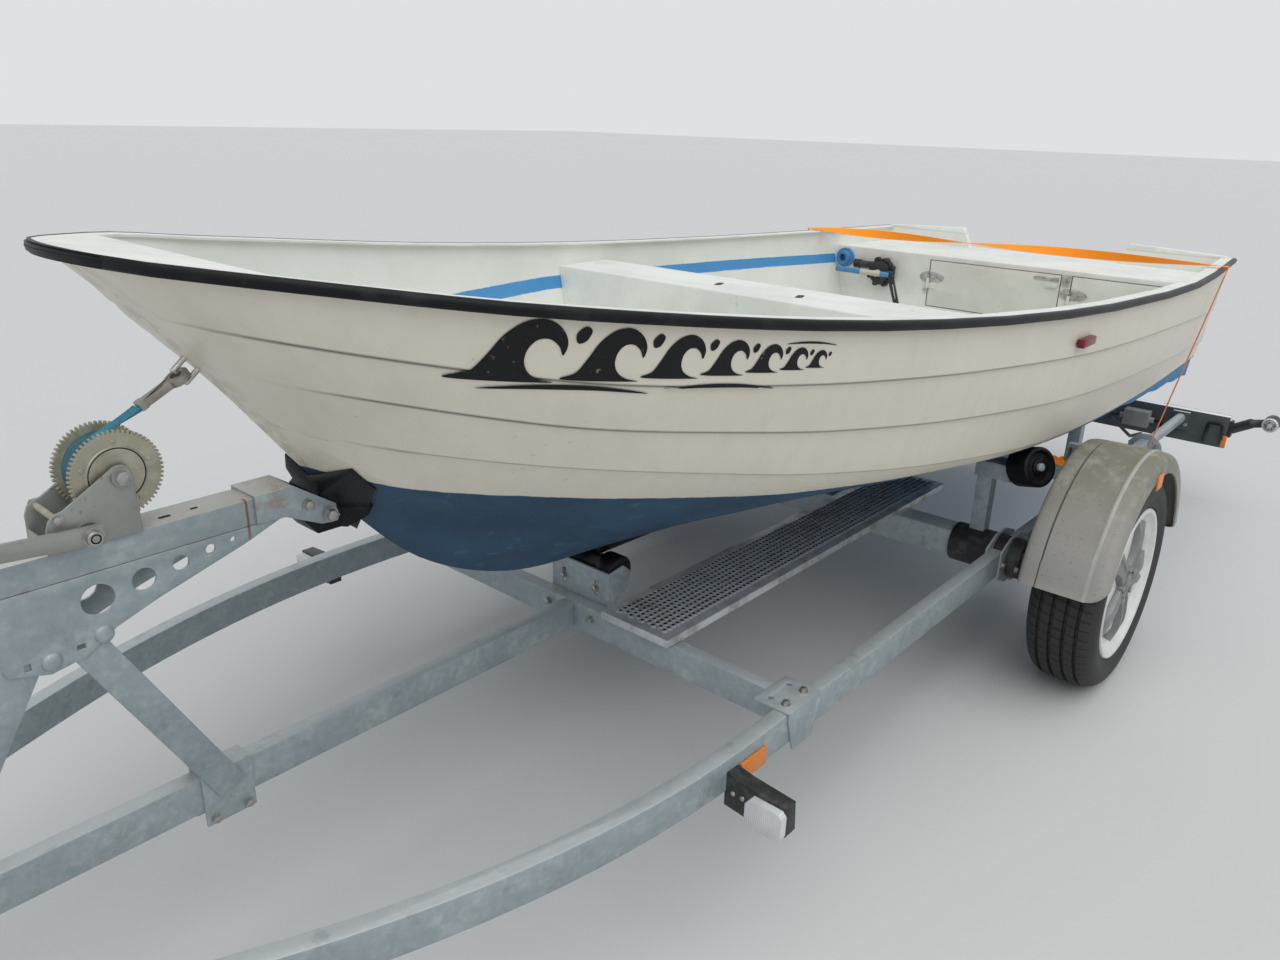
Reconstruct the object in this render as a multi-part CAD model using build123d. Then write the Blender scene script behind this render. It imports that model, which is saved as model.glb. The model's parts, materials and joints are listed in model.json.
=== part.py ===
from build123d import *
import math
import os

# Open clinker-look dinghy on its road trailer, in millimetres.
# While modelling, X points to the bow from the wheel axle, Y to port and Z up from the ground.
# Every piece is moved at the end so that the origin is under the middle of the whole.

# Hull: x of the station, height of the keel, then (half breadth, height) of the chine,
# of the three plank laps and of the top of the side
HULL_STATIONS = [
    (-1395, 401, (544, 473), (556, 540), (570, 595), (583, 702), (605, 872)),
    (-600, 400, (570, 527), (585, 556), (634, 664), (664, 776), (676, 883)),
    (100, 401, (570, 571), (592, 593), (637, 704), (661, 808), (673, 909)),
    (600, 405, (524, 615), (560, 651), (594, 748), (621, 844), (636, 940)),
    (965, 412, (452, 656), (495, 705), (533, 790), (567, 877), (584, 972)),
    (1200, 441, (372, 692), (423, 748), (468, 824), (508, 902), (532, 998)),
    (1400, 534, (285, 726), (345, 787), (397, 857), (440, 927), (469, 1023)),
    (1550, 682, (165, 748), (250, 819), (320, 891), (368, 956), (404, 1043)),
    (1700, 873, (55, 888), (115, 905), (178, 925), (262, 991), (312, 1066)),
    (1850, 1050, (25, 1052), (50, 1055), (78, 1059), (110, 1067), (145, 1086)),
    (1880, 1077, (18, 1078), (34, 1080), (52, 1083), (70, 1086), (91, 1091)),
]
HULL_SECTIONS = [-1395, -1150, -900, -600, -300, 100, 350, 600, 800, 965, 1100, 1200, 1300,
                 1400, 1475, 1550, 1600, 1650, 1700, 1750, 1800, 1850, 1880]
INSIDE_END_X = 1800
BREASTHOOK_X = 1750
HULL_WALL = 7
TRANSOM_WALL = 30
PLANK_LAP = 6
STEM_X, STERN_X = 1880, -1395
BOW_TIP_X = 1909
BOW_RISE = 0.17

# Gunwale flange and its rubber, with the lashing's (side, x) ends over it
FLANGE_THICK = 4
FLANGE_IN, FLANGE_OUT = 26, 6
RUBBER_OUT = 19
RUBBER_HALF = 8
STRAP_ENDS = ((-1, -890), (1, -1032))
CORD_RADIUS = 2.5

# Inside the hull
THWART_X = (255, 445)
THWART_TOP = 874
LOCKER_X = -1020
LOCKER_TOP = 824
PANEL_THICK = 15
DOOR_GAP = 5
DOOR_BOTTOM, DOOR_TOP = 650, 805
DOORS = {"starboard": (-250, 200), "port": (240, 555)}
HINGE_PIN = 2.5
HINGE_KNUCKLE = 5
CUT_BOTTOM = LOCKER_TOP
CUT_HALF_BOTTOM, CUT_HALF_TOP = 266, 296
WING_TOP, WING_CORNER = 893, 881
FLANGE_Y, FLANGE_Z = -590, 782
HOSE_FLANGE_RADIUS = 35
PUMP_Y, PUMP_Z = -431, 747
PUMP_RIM, PUMP_BOWL = 46, 38

# Road wheels and their mudguards
TYRE_RADIUS = 262.5
TYRE_WIDTH = 156
BEAD_RADIUS, BEAD_HALF = 166, 62
WHEEL_GAP = 96
SPOKES_OUT = 38
RIM_RADIUS = 183
SPINDLE_RADIUS = 14
GUARD_X, GUARD_Z = -8, 275
GUARD_RADIUS, GUARD_THICK = 302, 5
GUARD_REACH_IN, GUARD_REACH_OUT = 94, 88
GUARD_SKIRT = 258
GUARD_LIP = 8
STAY = 5
STAY_OUTSIDE = 37

# Galvanised frame
TUBE_HIGH = 60
TUBE_WIDE = 30
FRAME_TOP = 320
RAIL_OUT = 560
CROSS_X = 1040
REAR_CROSS_X = -610
BEND_START_X = 1170
BEND_RADIUS = 1800
MEET_X = 2703
REAR_END_X = -1050
CENTRE_END_X = 2760
COUPLING_TIP_X = 2950
CLAMP_THICK = 4

# Axle
AXLE_X, AXLE_Z = 105, 290
BEAM = 70
BEAM_SHORT = 140
HOUSING_RADIUS = 48
HOUSING_PAST = 36
CHEEK_THICK = 5

# Keel roller, side rollers and their supports
KEEL_ROLLER_X, KEEL_ROLLER_Z = 965, 378
KEEL_ROLLER_RADIUS, KEEL_ROLLER_WAIST = 36, 25
KEEL_ROLLER_HALF = 72
SIDE_ROLLER_X = 100
SIDE_ROLLER_INSET = 5
SIDE_ROLLER_RADIUS, SIDE_ROLLER_LENGTH = 47, 62
SIDE_ROLLER_YAW = 25
CHINE_DROP = 2.1
POST = 35
POST_INSET = 88
SEAT_GAP = 0.3

# Winch post
POST_TUBE_WIDE, POST_TUBE_HIGH = 60, 40
POST_TUBE_TOP = 735
POST_TUBE_X = (1656, 2110)
WINCH_X, WINCH_Z = 1872, 815
WINCH_HALF = 37
SHAFT_RADIUS = 8
CRANK_X, CRANK_Z = 1920, 752
GEAR_RADIUS = 58
GEAR_TEETH = 60
DRUM_RADIUS = 20
ROLL_RADIUS = 42
WEB_THICK = 2.5
EYE_X, EYE_Z = 1750, 931
EYE_SLOPE = Vector(1, 0, 1.17).normalized()
EYE_OUT = Vector(1.17, 0, -1).normalized()
EYE_REACH, EYE_HALF, EYE_BAR = 20, 12, 4
HOOK_RING, HOOK_THICK = 16, 11
HOOK_LONG = 66
PIVOT_X, PIVOT_Z = 1588, 682

# Lamps
BOARD_X = -1500
BOARD_HALF = 700
BOARD_Z = (220, 332)
LAMP_BACK_X = -1560
LIGHT_TUBE_INSET = 13
LIGHT_TUBE_Z, LIGHT_TUBE_RADIUS = 300, 17
BOX_LONG, BOX_Z = 84, (248, 305)
BOX_TO_LAMP = 18
GLAND_Z, GLAND_OUT = 276, 16
CABLE_RADIUS = 4
LOOP_WIDE = 56

# Jockey wheel
JOCKEY_X = 2480
JOCKEY_REACH = 49
JOCKEY_RADIUS = 100
JOCKEY_WIDE = 50
JOCKEY_TRAIL = 40

# Walkway
PLANK_X = (-120, 1062)
PLANK_Y = (109, 279)
PLANK_TOP = 342
PLANK_SHEET = 2.5

FRAME_BOTTOM = FRAME_TOP - TUBE_HIGH
RAIL_IN = RAIL_OUT - TUBE_WIDE
BEAM_HALF = RAIL_OUT - BEAM_SHORT
HOUSING_OUT = RAIL_OUT + HOUSING_PAST
TRACK_HALF = RAIL_OUT + WHEEL_GAP + TYRE_WIDTH / 2
GUARD_IN, GUARD_OUT = TRACK_HALF - GUARD_REACH_IN, TRACK_HALF + GUARD_REACH_OUT
SIDE_ROLLER_Y = RAIL_OUT - SIDE_ROLLER_INSET
POST_Y = RAIL_OUT - POST_INSET
LIGHT_TUBE_Y = RAIL_OUT - LIGHT_TUBE_INSET
LAMP_IN = BOARD_HALF - 230
BOX_Y = (LAMP_IN - BOX_TO_LAMP - BOX_LONG, LAMP_IN - BOX_TO_LAMP)
ORIGIN_X = (COUPLING_TIP_X + LAMP_BACK_X) / 2
BOTH = (1, -1)


def bend_angle():
    """Turn of each rail, in radians, that brings it to the centre tube at MEET_X."""
    radius = BEND_RADIUS - TUBE_WIDE
    ahead, aside = MEET_X - BEND_START_X, TUBE_WIDE / 2 - RAIL_IN + radius
    return math.atan2(ahead, aside) - math.acos(radius / math.hypot(ahead, aside))


def rail_outside(x):
    """Distance of the straight fore part of a rail's outer side from the middle at x."""
    angle = bend_angle()
    return TUBE_WIDE / 2 + (MEET_X - x) * math.tan(angle) + TUBE_WIDE / math.cos(angle)


JOCKEY_Y = -(rail_outside(JOCKEY_X) + JOCKEY_REACH)


def block(x, y, z):
    """A box between two x, two y and two z values."""
    size = [abs(pair[1] - pair[0]) for pair in (x, y, z)]
    return Pos(min(x), min(y), min(z)) * Box(*size, align=(Align.MIN,) * 3)


def rod(start, end, radius):
    """A round bar from one point to another."""
    run = Vector(*end) - Vector(*start)
    return extrude(Plane(origin=start, z_dir=run) * Circle(radius), run.length)


def pipe(start, end, radius, wall):
    """A round tube from one point to another."""
    return rod(start, end, radius) - rod(start, end, radius - wall)


def plate(outline, y, thick):
    """An outline of (x, z) points at y, made thick towards port."""
    plane = Plane(origin=(0, y + thick, 0), x_dir=(1, 0, 0), z_dir=(0, -1, 0))
    return extrude(make_face(plane * Polyline(*outline, close=True)), thick, dir=(0, -1, 0))


def across(outline, x, thick):
    """An outline of (y, z) points at x, made thick towards the bow."""
    plane = Plane(origin=(x, 0, 0), x_dir=(0, 1, 0), z_dir=(1, 0, 0))
    return extrude(make_face(plane * Polyline(*outline, close=True)), thick, dir=(1, 0, 0))


def both_sides(piece):
    """The port piece and its mirror image to starboard."""
    return Compound(children=solids_of(piece) + solids_of(mirror(piece, about=Plane.XZ)))


def solids_of(*pieces):
    """All solids of some pieces, in one list."""
    return [solid for piece in pieces for solid in piece.solids()]


def together(*pieces):
    """Pieces that share a node without touching."""
    return Compound(children=solids_of(*pieces))


def turned(profile, x, y, z, arc=360):
    """Turn a closed (y, radius) profile about a cross-ship axle."""
    plane = Plane(origin=(x, y, z), x_dir=(0, 1, 0), z_dir=(1, 0, 0))
    face = make_face(plane * Polyline(*profile, close=True))
    return revolve(face, Axis((x, y, z), (0, 1, 0)), arc)


def column_at(x, value):
    """Smooth curve through one column of the hull stations."""
    xs = [row[0] for row in HULL_STATIONS]
    values = [value(row) for row in HULL_STATIONS]
    last = len(xs) - 1
    slopes = []
    for i in range(last + 1):
        aft, fore = max(i - 1, 0), min(i + 1, last)
        slopes.append((values[fore] - values[aft]) / (xs[fore] - xs[aft]))
    i = max(k for k in range(last) if xs[k] <= x)
    run = xs[i + 1] - xs[i]
    t = (x - xs[i]) / run
    return ((2 * t**3 - 3 * t**2 + 1) * values[i] + (t**3 - 2 * t**2 + t) * run * slopes[i]
            + (3 * t**2 - 2 * t**3) * values[i + 1] + (t**3 - t**2) * run * slopes[i + 1])


def hull_row(x):
    """Keel height and the five (half breadth, height) points of the side at x."""
    keel = column_at(x, lambda row: row[1])
    side = [(column_at(x, lambda row: row[k][0]), column_at(x, lambda row: row[k][1]))
            for k in range(2, 7)]
    return keel, side


def bottom_slope():
    """Rise of the bottom from the keel to the chine at the side rollers."""
    keel, side = hull_row(SIDE_ROLLER_X)
    return (side[0][1] - keel) / side[0][0]


def section(x, points):
    """Closed hull section at x from the points of its port half."""
    other = [(-y, z) for y, z in reversed(points) if y]
    plane = Plane(origin=(x, 0, 0), x_dir=(0, 1, 0), z_dir=(1, 0, 0))
    return make_face(plane * Polyline(*points, *other, close=True))


def outside_points(x):
    """Port half of the outer section, with a small step at each plank lap."""
    keel, side = hull_row(x)
    lap = PLANK_LAP if x < 1500 else PLANK_LAP * max(0.15, (STEM_X - x) / 350)
    points = [(0, keel)]
    for y, z in side[:-1]:
        points += [(y, z), (y + lap, z)]
    return points + [side[-1]]


def inside_points(x):
    """Port half of the inner section, one wall inside the smooth outer one."""
    keel, side = hull_row(x)
    line = [(0, keel)] + side
    points = []
    for i, (y, z) in enumerate(line):
        aft = line[i - 1] if i else (-side[0][0], side[0][1])
        fore = line[i + 1] if i + 1 < len(line) else (2 * y - aft[0], 2 * z - aft[1])
        along = math.hypot(fore[0] - aft[0], fore[1] - aft[1])
        normal = ((fore[1] - aft[1]) / along, -(fore[0] - aft[0]) / along)
        edge = math.hypot(y - aft[0], z - aft[1])
        lean = (normal[0] * (z - aft[1]) - normal[1] * (y - aft[0])) / edge
        points.append((y - normal[0] * HULL_WALL / lean, z - normal[1] * HULL_WALL / lean))
    points[0] = (0, points[0][1])
    points[-1] = (points[-1][0] + 2, points[-1][1] + 30)
    return points


def hull_outside():
    """The closed outer form of the hull."""
    return loft([section(x, outside_points(x)) for x in HULL_SECTIONS], ruled=True)


def hull_inside():
    """The space inside the hull, open over the gunwale."""
    space = loft([section(x, inside_points(x)) for x in HULL_SECTIONS if x <= INSIDE_END_X], ruled=True)
    return space & block((STERN_X + TRANSOM_WALL, STEM_X), (-800, 800), (0, 1200))


def transom_cut():
    """The low place for an outboard motor, with sloping ends."""
    top = WING_TOP + 60
    spread = (CUT_HALF_TOP - CUT_HALF_BOTTOM) * (top - CUT_BOTTOM) / (WING_TOP - CUT_BOTTOM)
    low, high = CUT_HALF_BOTTOM, CUT_HALF_BOTTOM + spread
    outline = [(-low, CUT_BOTTOM), (low, CUT_BOTTOM), (high, top), (-high, top)]
    return across(outline, STERN_X - 50, 130)


def transom_wings():
    """Raised corners of the transom, from the motor cut-out down to the gunwale."""
    y, foot = hull_row(STERN_X)[1][-1]
    outline = [(CUT_HALF_TOP - 8, foot), (y - 4, foot), (y - 10, WING_CORNER), (CUT_HALF_TOP, WING_TOP)]
    return both_sides(across(outline, STERN_X, TRANSOM_WALL))


def gunwale_band(profile):
    """A band along both gunwales, its profile given as offsets from the top of the side."""
    bands = []
    for side in BOTH:
        faces = []
        for x in HULL_SECTIONS:
            y, z = hull_row(x)[1][-1]
            plane = Plane(origin=(x, 0, 0), x_dir=(0, 1, 0), z_dir=(1, 0, 0))
            corners = [(side * (y + out), z + up) for out, up in profile]
            faces.append(make_face(plane * Polyline(*corners, close=True)))
        bands.append(loft(faces, ruled=True))
    return bands


def gunwale_flange():
    """White flange moulded out and in from the top of each side."""
    profile = [(-FLANGE_IN, 0), (FLANGE_OUT, 0), (FLANGE_OUT, FLANGE_THICK), (-FLANGE_IN, FLANGE_THICK)]
    return gunwale_band(profile)


def gunwale_rubber():
    """Rounded rubber strip round the flange's edge."""
    half, out = RUBBER_HALF, RUBBER_OUT
    profile = [(FLANGE_OUT, -half), (out - 5, -half), (out - 1, 3 - half), (out, 0), (out - 1, half - 3),
               (out - 5, half), (FLANGE_OUT, half)]
    return gunwale_band(profile)


def bow_round(out, low, high):
    """Round end of a band ahead of the stem, rising with the sheer."""
    y, z = hull_row(STEM_X)[1][-1]
    tip = BOW_TIP_X - RUBBER_OUT + out
    edge = ThreePointArc((STEM_X, -y - out), (tip, 0), (STEM_X, y + out))
    plan = make_face(Wire([edge, Line((STEM_X, y + out), (STEM_X, -y - out))]))
    rise = BOW_RISE * (BOW_TIP_X - STEM_X)
    slab = plate([(STEM_X, z + low), (BOW_TIP_X, z + low + rise), (BOW_TIP_X, z + high + rise),
                  (STEM_X, z + high)], -200, 400)
    return extrude(Pos(0, 0, z - 50) * plan, 100) & slab


def bow_rubber():
    """Rubber strip round the bow, in three steps for its rounded face."""
    half, out = RUBBER_HALF, RUBBER_OUT
    inner = bow_round(FLANGE_OUT, -2 * half, 2 * half)
    strip = bow_round(out - 5, -half, half) + bow_round(out - 1, 3 - half, half - 3)
    return strip + bow_round(out, -1, 1) - inner


def bow_flange():
    """Flange round the bow, inside the rubber."""
    return bow_round(FLANGE_OUT, 0, FLANGE_THICK)


def breasthook():
    """Small knee that ties the gunwales together in the bow."""
    faces = []
    for x in HULL_SECTIONS:
        if x < BREASTHOOK_X:
            continue
        y, z = hull_row(x)[1][-1]
        y = y - FLANGE_IN - SEAT_GAP
        plane = Plane(origin=(x, 0, 0), x_dir=(0, 1, 0), z_dir=(1, 0, 0))
        outline = [(-y, z), (y, z), (y, z + FLANGE_THICK), (-y, z + FLANGE_THICK)]
        faces.append(make_face(plane * Polyline(*outline, close=True)))
    return loft(faces, ruled=True)


def thwart(space):
    """Box seat across the hull with two finger slots in its top."""
    seat = space & block(THWART_X, (-800, 800), (0, THWART_TOP))
    middle = sum(THWART_X) / 2
    for y in (-170, 64):
        slot = Pos(middle, y, THWART_TOP - 12) * extrude(SlotOverall(46, 16, rotation=20), 20)
        seat = seat - slot
    return seat


def door_hole(y):
    """Opening in the locker front for the door between two y values."""
    return block((LOCKER_X - 40, LOCKER_X + 40), (y[0] - DOOR_GAP, y[1] + DOOR_GAP),
                 (DOOR_BOTTOM - DOOR_GAP, DOOR_TOP + DOOR_GAP))


def locker_front(space):
    """Panel across the hull with its two door openings."""
    panel = space & block((LOCKER_X - PANEL_THICK, LOCKER_X), (-800, 800), (0, LOCKER_TOP - PANEL_THICK))
    for y in DOORS.values():
        panel = panel - door_hole(y)
    return panel


def locker_deck(space):
    """Aft deck over the locker, level with the motor cut-out."""
    return space & block((STERN_X, LOCKER_X), (-800, 800), (LOCKER_TOP - PANEL_THICK, LOCKER_TOP))


def hinge_axis(y):
    """Upright hinge line at the starboard edge of a door."""
    return LOCKER_X + HINGE_KNUCKLE + 1, y[0] - DOOR_GAP / 2


def locker_door(y):
    """One door, with the hinge knuckle and a turn latch on its face."""
    door = block((LOCKER_X - 12, LOCKER_X), y, (DOOR_BOTTOM, DOOR_TOP))
    x, hinge_y = hinge_axis(y)
    middle = (DOOR_BOTTOM + DOOR_TOP) / 2
    leaf = block((LOCKER_X, LOCKER_X + 2.5), (hinge_y, y[0] + 30), (middle - 18, middle + 18))
    knuckle = rod((x, hinge_y, middle - 18), (x, hinge_y, middle + 18), HINGE_KNUCKLE)
    latch = block((LOCKER_X, LOCKER_X + 8), (y[1] - 42, y[1] - 4), (middle + 38, middle + 52))
    bore = rod((x, hinge_y, middle - 20), (x, hinge_y, middle + 20), HINGE_PIN + 0.3)
    return door + leaf + knuckle + latch - bore


def hinge_pins():
    """Hinge pins of both doors, each held by two lugs on the locker front."""
    pins = []
    middle = (DOOR_BOTTOM + DOOR_TOP) / 2
    for y in DOORS.values():
        x, hinge_y = hinge_axis(y)
        pin = rod((x, hinge_y, middle - 30), (x, hinge_y, middle + 30), HINGE_PIN)
        for z in (middle - 30, middle + 20):
            pin = pin + block((LOCKER_X, x + 4), (hinge_y - 14, hinge_y + 4), (z, z + 10))
        pins.append(pin)
    return together(*pins)


def bilge_pump():
    """Diaphragm hand pump: lobed rim, bowl, elbow stub and the hose stub under it."""
    rim = rod((LOCKER_X, PUMP_Y, PUMP_Z), (LOCKER_X + 24, PUMP_Y, PUMP_Z), PUMP_RIM)
    bowl = rod((LOCKER_X + 24, PUMP_Y, PUMP_Z), (LOCKER_X + 42, PUMP_Y, PUMP_Z), PUMP_BOWL)
    pump = rim + bowl
    for turn in range(8):
        angle = math.radians(45 * turn + 22.5)
        y, z = PUMP_Y + PUMP_RIM * math.cos(angle), PUMP_Z + PUMP_RIM * math.sin(angle)
        pump = pump + rod((LOCKER_X + 8, y, z), (LOCKER_X + 28, y, z), 9)
    stub_x, stub_z = LOCKER_X + 20, PUMP_Z + 20
    pump = pump + rod((stub_x, PUMP_Y - 98, stub_z), (stub_x, PUMP_Y, stub_z), 13)
    return pump + rod((stub_x, PUMP_Y - 108, stub_z), (stub_x, PUMP_Y - 86, stub_z), 16)


def pump_lever():
    """Hand lever across the pump, with the slotted bar that it works."""
    x, z = LOCKER_X + 42 + SEAT_GAP, PUMP_Z - 2
    grip_x = x + 18
    hub = rod((x, PUMP_Y, z), (grip_x, PUMP_Y, z), 12)
    grip = rod((grip_x, PUMP_Y - 160, z), (grip_x, PUMP_Y + 56, z), 9.5)
    bar = [(PUMP_Y + 44, z + 12), (PUMP_Y + 66, z + 12), (PUMP_Y + 104, z - 96), (PUMP_Y + 84, z - 96)]
    slot = [(PUMP_Y + 68, z - 30), (PUMP_Y + 76, z - 30), (PUMP_Y + 92, z - 80), (PUMP_Y + 85, z - 80)]
    return hub + grip + across(bar, grip_x - 4, 8) - across(slot, grip_x - 14, 28)


def hose_flange(space):
    """Round blue flange with a collar and a deep hole, high at the starboard end."""
    y, z = FLANGE_Y, FLANGE_Z
    ring = rod((LOCKER_X, y, z), (LOCKER_X + 12, y, z), HOSE_FLANGE_RADIUS)
    collar = rod((LOCKER_X + 12, y, z), (LOCKER_X + 30, y, z), HOSE_FLANGE_RADIUS - 10)
    return ((ring + collar) & space) - rod((LOCKER_X + 4, y, z), (LOCKER_X + 40, y, z), 13)


def keel_strip():
    """Narrow wear strip under the keel, from the roller to the transom."""
    faces = []
    for x in (STERN_X + 5, -600, 100, 600, 965):
        keel = hull_row(x)[0]
        plane = Plane(origin=(x, 0, 0), x_dir=(0, 1, 0), z_dir=(1, 0, 0))
        outline = [(-18, keel - 7), (18, keel - 7), (22, keel + 12), (-22, keel + 12)]
        faces.append(make_face(plane * Polyline(*outline, close=True)))
    return loft(faces, ruled=True)


def bow_eye():
    """U-bolt on the stem that the winch hook holds."""
    low, high = eye_bar() - EYE_SLOPE * EYE_HALF, eye_bar() + EYE_SLOPE * EYE_HALF
    root = EYE_OUT * (EYE_REACH + 6)
    eye = rod(low - root, low, EYE_BAR) + rod(low, high, EYE_BAR) + rod(high, high - root, EYE_BAR)
    for corner in (low, high):
        eye = eye + Pos(*corner) * Sphere(EYE_BAR)
    return eye


def side_markers():
    """Red markers high on each quarter."""
    x0, x1, z0, z1 = 154, 278, 838, 856
    y = 672
    return both_sides(block((x0 + 25, x1 - 25), (y - 8, y + 8), (z0, z1)))


def strap_over():
    """Lashing across the stern and down to the rear rails on each side."""
    ends = []
    for side, x in STRAP_ENDS:
        y, z = hull_row(x)[1][-1]
        ends.append(Vector(x, side * (y + RUBBER_OUT + 10), z + RUBBER_HALF + WEB_THICK / 2 + SEAT_GAP))
    run = ends[1] - ends[0]
    middle = (ends[0] + ends[1]) * 0.5
    plane = Plane(origin=middle, x_dir=run, z_dir=run.cross(Vector(1, 0, 0)))
    strap = plane * Box(run.length, 26, WEB_THICK)
    for end, (side, x) in zip(ends, STRAP_ENDS):
        foot = (x, side * (RAIL_OUT + CORD_RADIUS + SEAT_GAP), FRAME_TOP - 20)
        strap = strap + rod(end, foot, CORD_RADIUS)
    return strap


def rail_outline():
    """Plan of the port rail ahead of the axle, bent in to the coupling."""
    angle = bend_angle()
    corners = []
    for reach, radius in ((RAIL_OUT, BEND_RADIUS), (RAIL_IN, BEND_RADIUS - TUBE_WIDE)):
        middle = (BEND_START_X + radius * math.sin(angle / 2),
                  reach - radius * (1 - math.cos(angle / 2)))
        end = (BEND_START_X + radius * math.sin(angle), reach - radius * (1 - math.cos(angle)))
        corners.append((reach, middle, end))
    (out_y, out_mid, out_end), (in_y, in_mid, in_end) = corners
    run = (in_end[1] - TUBE_WIDE / 2) / math.sin(angle)
    reach_x, reach_y = run * math.cos(angle), -run * math.sin(angle)
    out_tip = (out_end[0] + reach_x, out_end[1] + reach_y)
    in_tip = (in_end[0] + reach_x, in_end[1] + reach_y)
    start = AXLE_X + HOUSING_RADIUS + 4
    lines = [Line((start, in_y), (start, out_y)), Line((start, out_y), (BEND_START_X, out_y)),
             ThreePointArc((BEND_START_X, out_y), out_mid, out_end), Line(out_end, out_tip),
             Line(out_tip, in_tip), Line(in_tip, in_end),
             ThreePointArc(in_end, in_mid, (BEND_START_X, in_y)),
             Line((BEND_START_X, in_y), (start, in_y))]
    return make_face(Wire(lines))


def side_rails():
    """Both outer rails ahead of the axle."""
    return both_sides(extrude(Pos(0, 0, FRAME_BOTTOM) * rail_outline(), TUBE_HIGH))


def rear_rails():
    """Straight rails from the axle to the light bar."""
    front = AXLE_X - HOUSING_RADIUS - 4
    return both_sides(block((REAR_END_X, front), (RAIL_IN, RAIL_OUT), (FRAME_BOTTOM, FRAME_TOP)))


def centre_tube():
    """Straight tube from the front cross-member to the coupling."""
    half = TUBE_WIDE / 2
    return block((CROSS_X, CENTRE_END_X), (-half, half), (FRAME_BOTTOM, FRAME_TOP))


def cross_tube(front_x):
    """Tube across between the rails, its front face at one x."""
    return block((front_x - TUBE_WIDE, front_x), (-RAIL_IN, RAIL_IN), (FRAME_BOTTOM, FRAME_TOP))


def cross_clamps():
    """Bent plates with tapered skirts that tie the front cross-member to the rails."""
    x0, x1 = CROSS_X - TUBE_WIDE / 2 - 40, CROSS_X - TUBE_WIDE / 2 + 60
    top = block((x0, x1), (RAIL_IN - 40, RAIL_OUT + CLAMP_THICK), (FRAME_TOP, FRAME_TOP + CLAMP_THICK))
    skirt = [(x0, FRAME_TOP + CLAMP_THICK), (x1, FRAME_TOP + CLAMP_THICK), (x1, FRAME_TOP - 12),
             (x1 - 20, FRAME_BOTTOM - 16), (x0 + 20, FRAME_BOTTOM - 16), (x0, FRAME_TOP - 12)]
    clamp = top + plate(skirt, RAIL_OUT, CLAMP_THICK)
    for x in (x0 + 22, x1 - 22):
        clamp = clamp - Pos(x, RAIL_IN - 18, FRAME_TOP) * Cylinder(5, 30)
    return both_sides(clamp)


def drawbar_plates():
    """Plates over and under the point where the rails meet the centre tube."""
    outline = [(2540, -118), (2540, 118), (2740, 30), (2740, -30)]
    face = make_face(Polyline(*outline, close=True))
    over = Pos(0, 0, FRAME_TOP) * extrude(face, 5)
    under = Pos(0, 0, FRAME_BOTTOM - 5) * extrude(face, 5)
    return together(over, under)


def axle_beam():
    """Box beam between the two suspension housings."""
    half = BEAM / 2
    return block((AXLE_X - half, AXLE_X + half), (-BEAM_HALF, BEAM_HALF), (AXLE_Z - half, AXLE_Z + half))


def housings():
    """Round suspension housings at the ends of the beam."""
    return both_sides(rod((AXLE_X, BEAM_HALF, AXLE_Z), (AXLE_X, HOUSING_OUT, AXLE_Z), HOUSING_RADIUS))


def axle_cheeks():
    """Cheek plates that carry the rails' ends on the housings."""
    outline = [(AXLE_X - 90, FRAME_BOTTOM - 4), (AXLE_X - 90, FRAME_TOP + 4), (AXLE_X - 30, 346),
               (AXLE_X + 30, 346), (AXLE_X + 80, FRAME_TOP + 4), (AXLE_X + 80, FRAME_BOTTOM - 4),
               (AXLE_X + 30, 234), (AXLE_X - 30, 234)]
    cheeks = plate(outline, RAIL_IN - CHEEK_THICK, CHEEK_THICK) + plate(outline, RAIL_OUT, CHEEK_THICK)
    bore = rod((AXLE_X, RAIL_IN - 20, AXLE_Z), (AXLE_X, RAIL_OUT + 20, AXLE_Z), HOUSING_RADIUS)
    return both_sides(cheeks - bore)


def swing_arms():
    """Trailing arms with the spindles that carry the wheels."""
    outline = [(AXLE_X + 40, AXLE_Z + 34), (AXLE_X + 40, AXLE_Z - 34), (-22, TYRE_RADIUS - 24),
               (-34, TYRE_RADIUS), (-22, TYRE_RADIUS + 25)]
    arm = plate(outline, HOUSING_OUT, 22)
    arm = arm + rod((0, HOUSING_OUT, TYRE_RADIUS), (0, TRACK_HALF + 8, TYRE_RADIUS), SPINDLE_RADIUS)
    return both_sides(arm)


def tyre(side):
    """Low-profile tyre of one side."""
    half = TYRE_WIDTH / 2
    right = [(BEAD_HALF - SEAT_GAP, BEAD_RADIUS), (BEAD_HALF + 5 - SEAT_GAP, RIM_RADIUS + 3),
             (half, RIM_RADIUS + 45), (half - 20, TYRE_RADIUS)]
    left = [(-y, radius) for y, radius in reversed(right)]
    return turned(right + left, 0, side * TRACK_HALF, TYRE_RADIUS)


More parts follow.
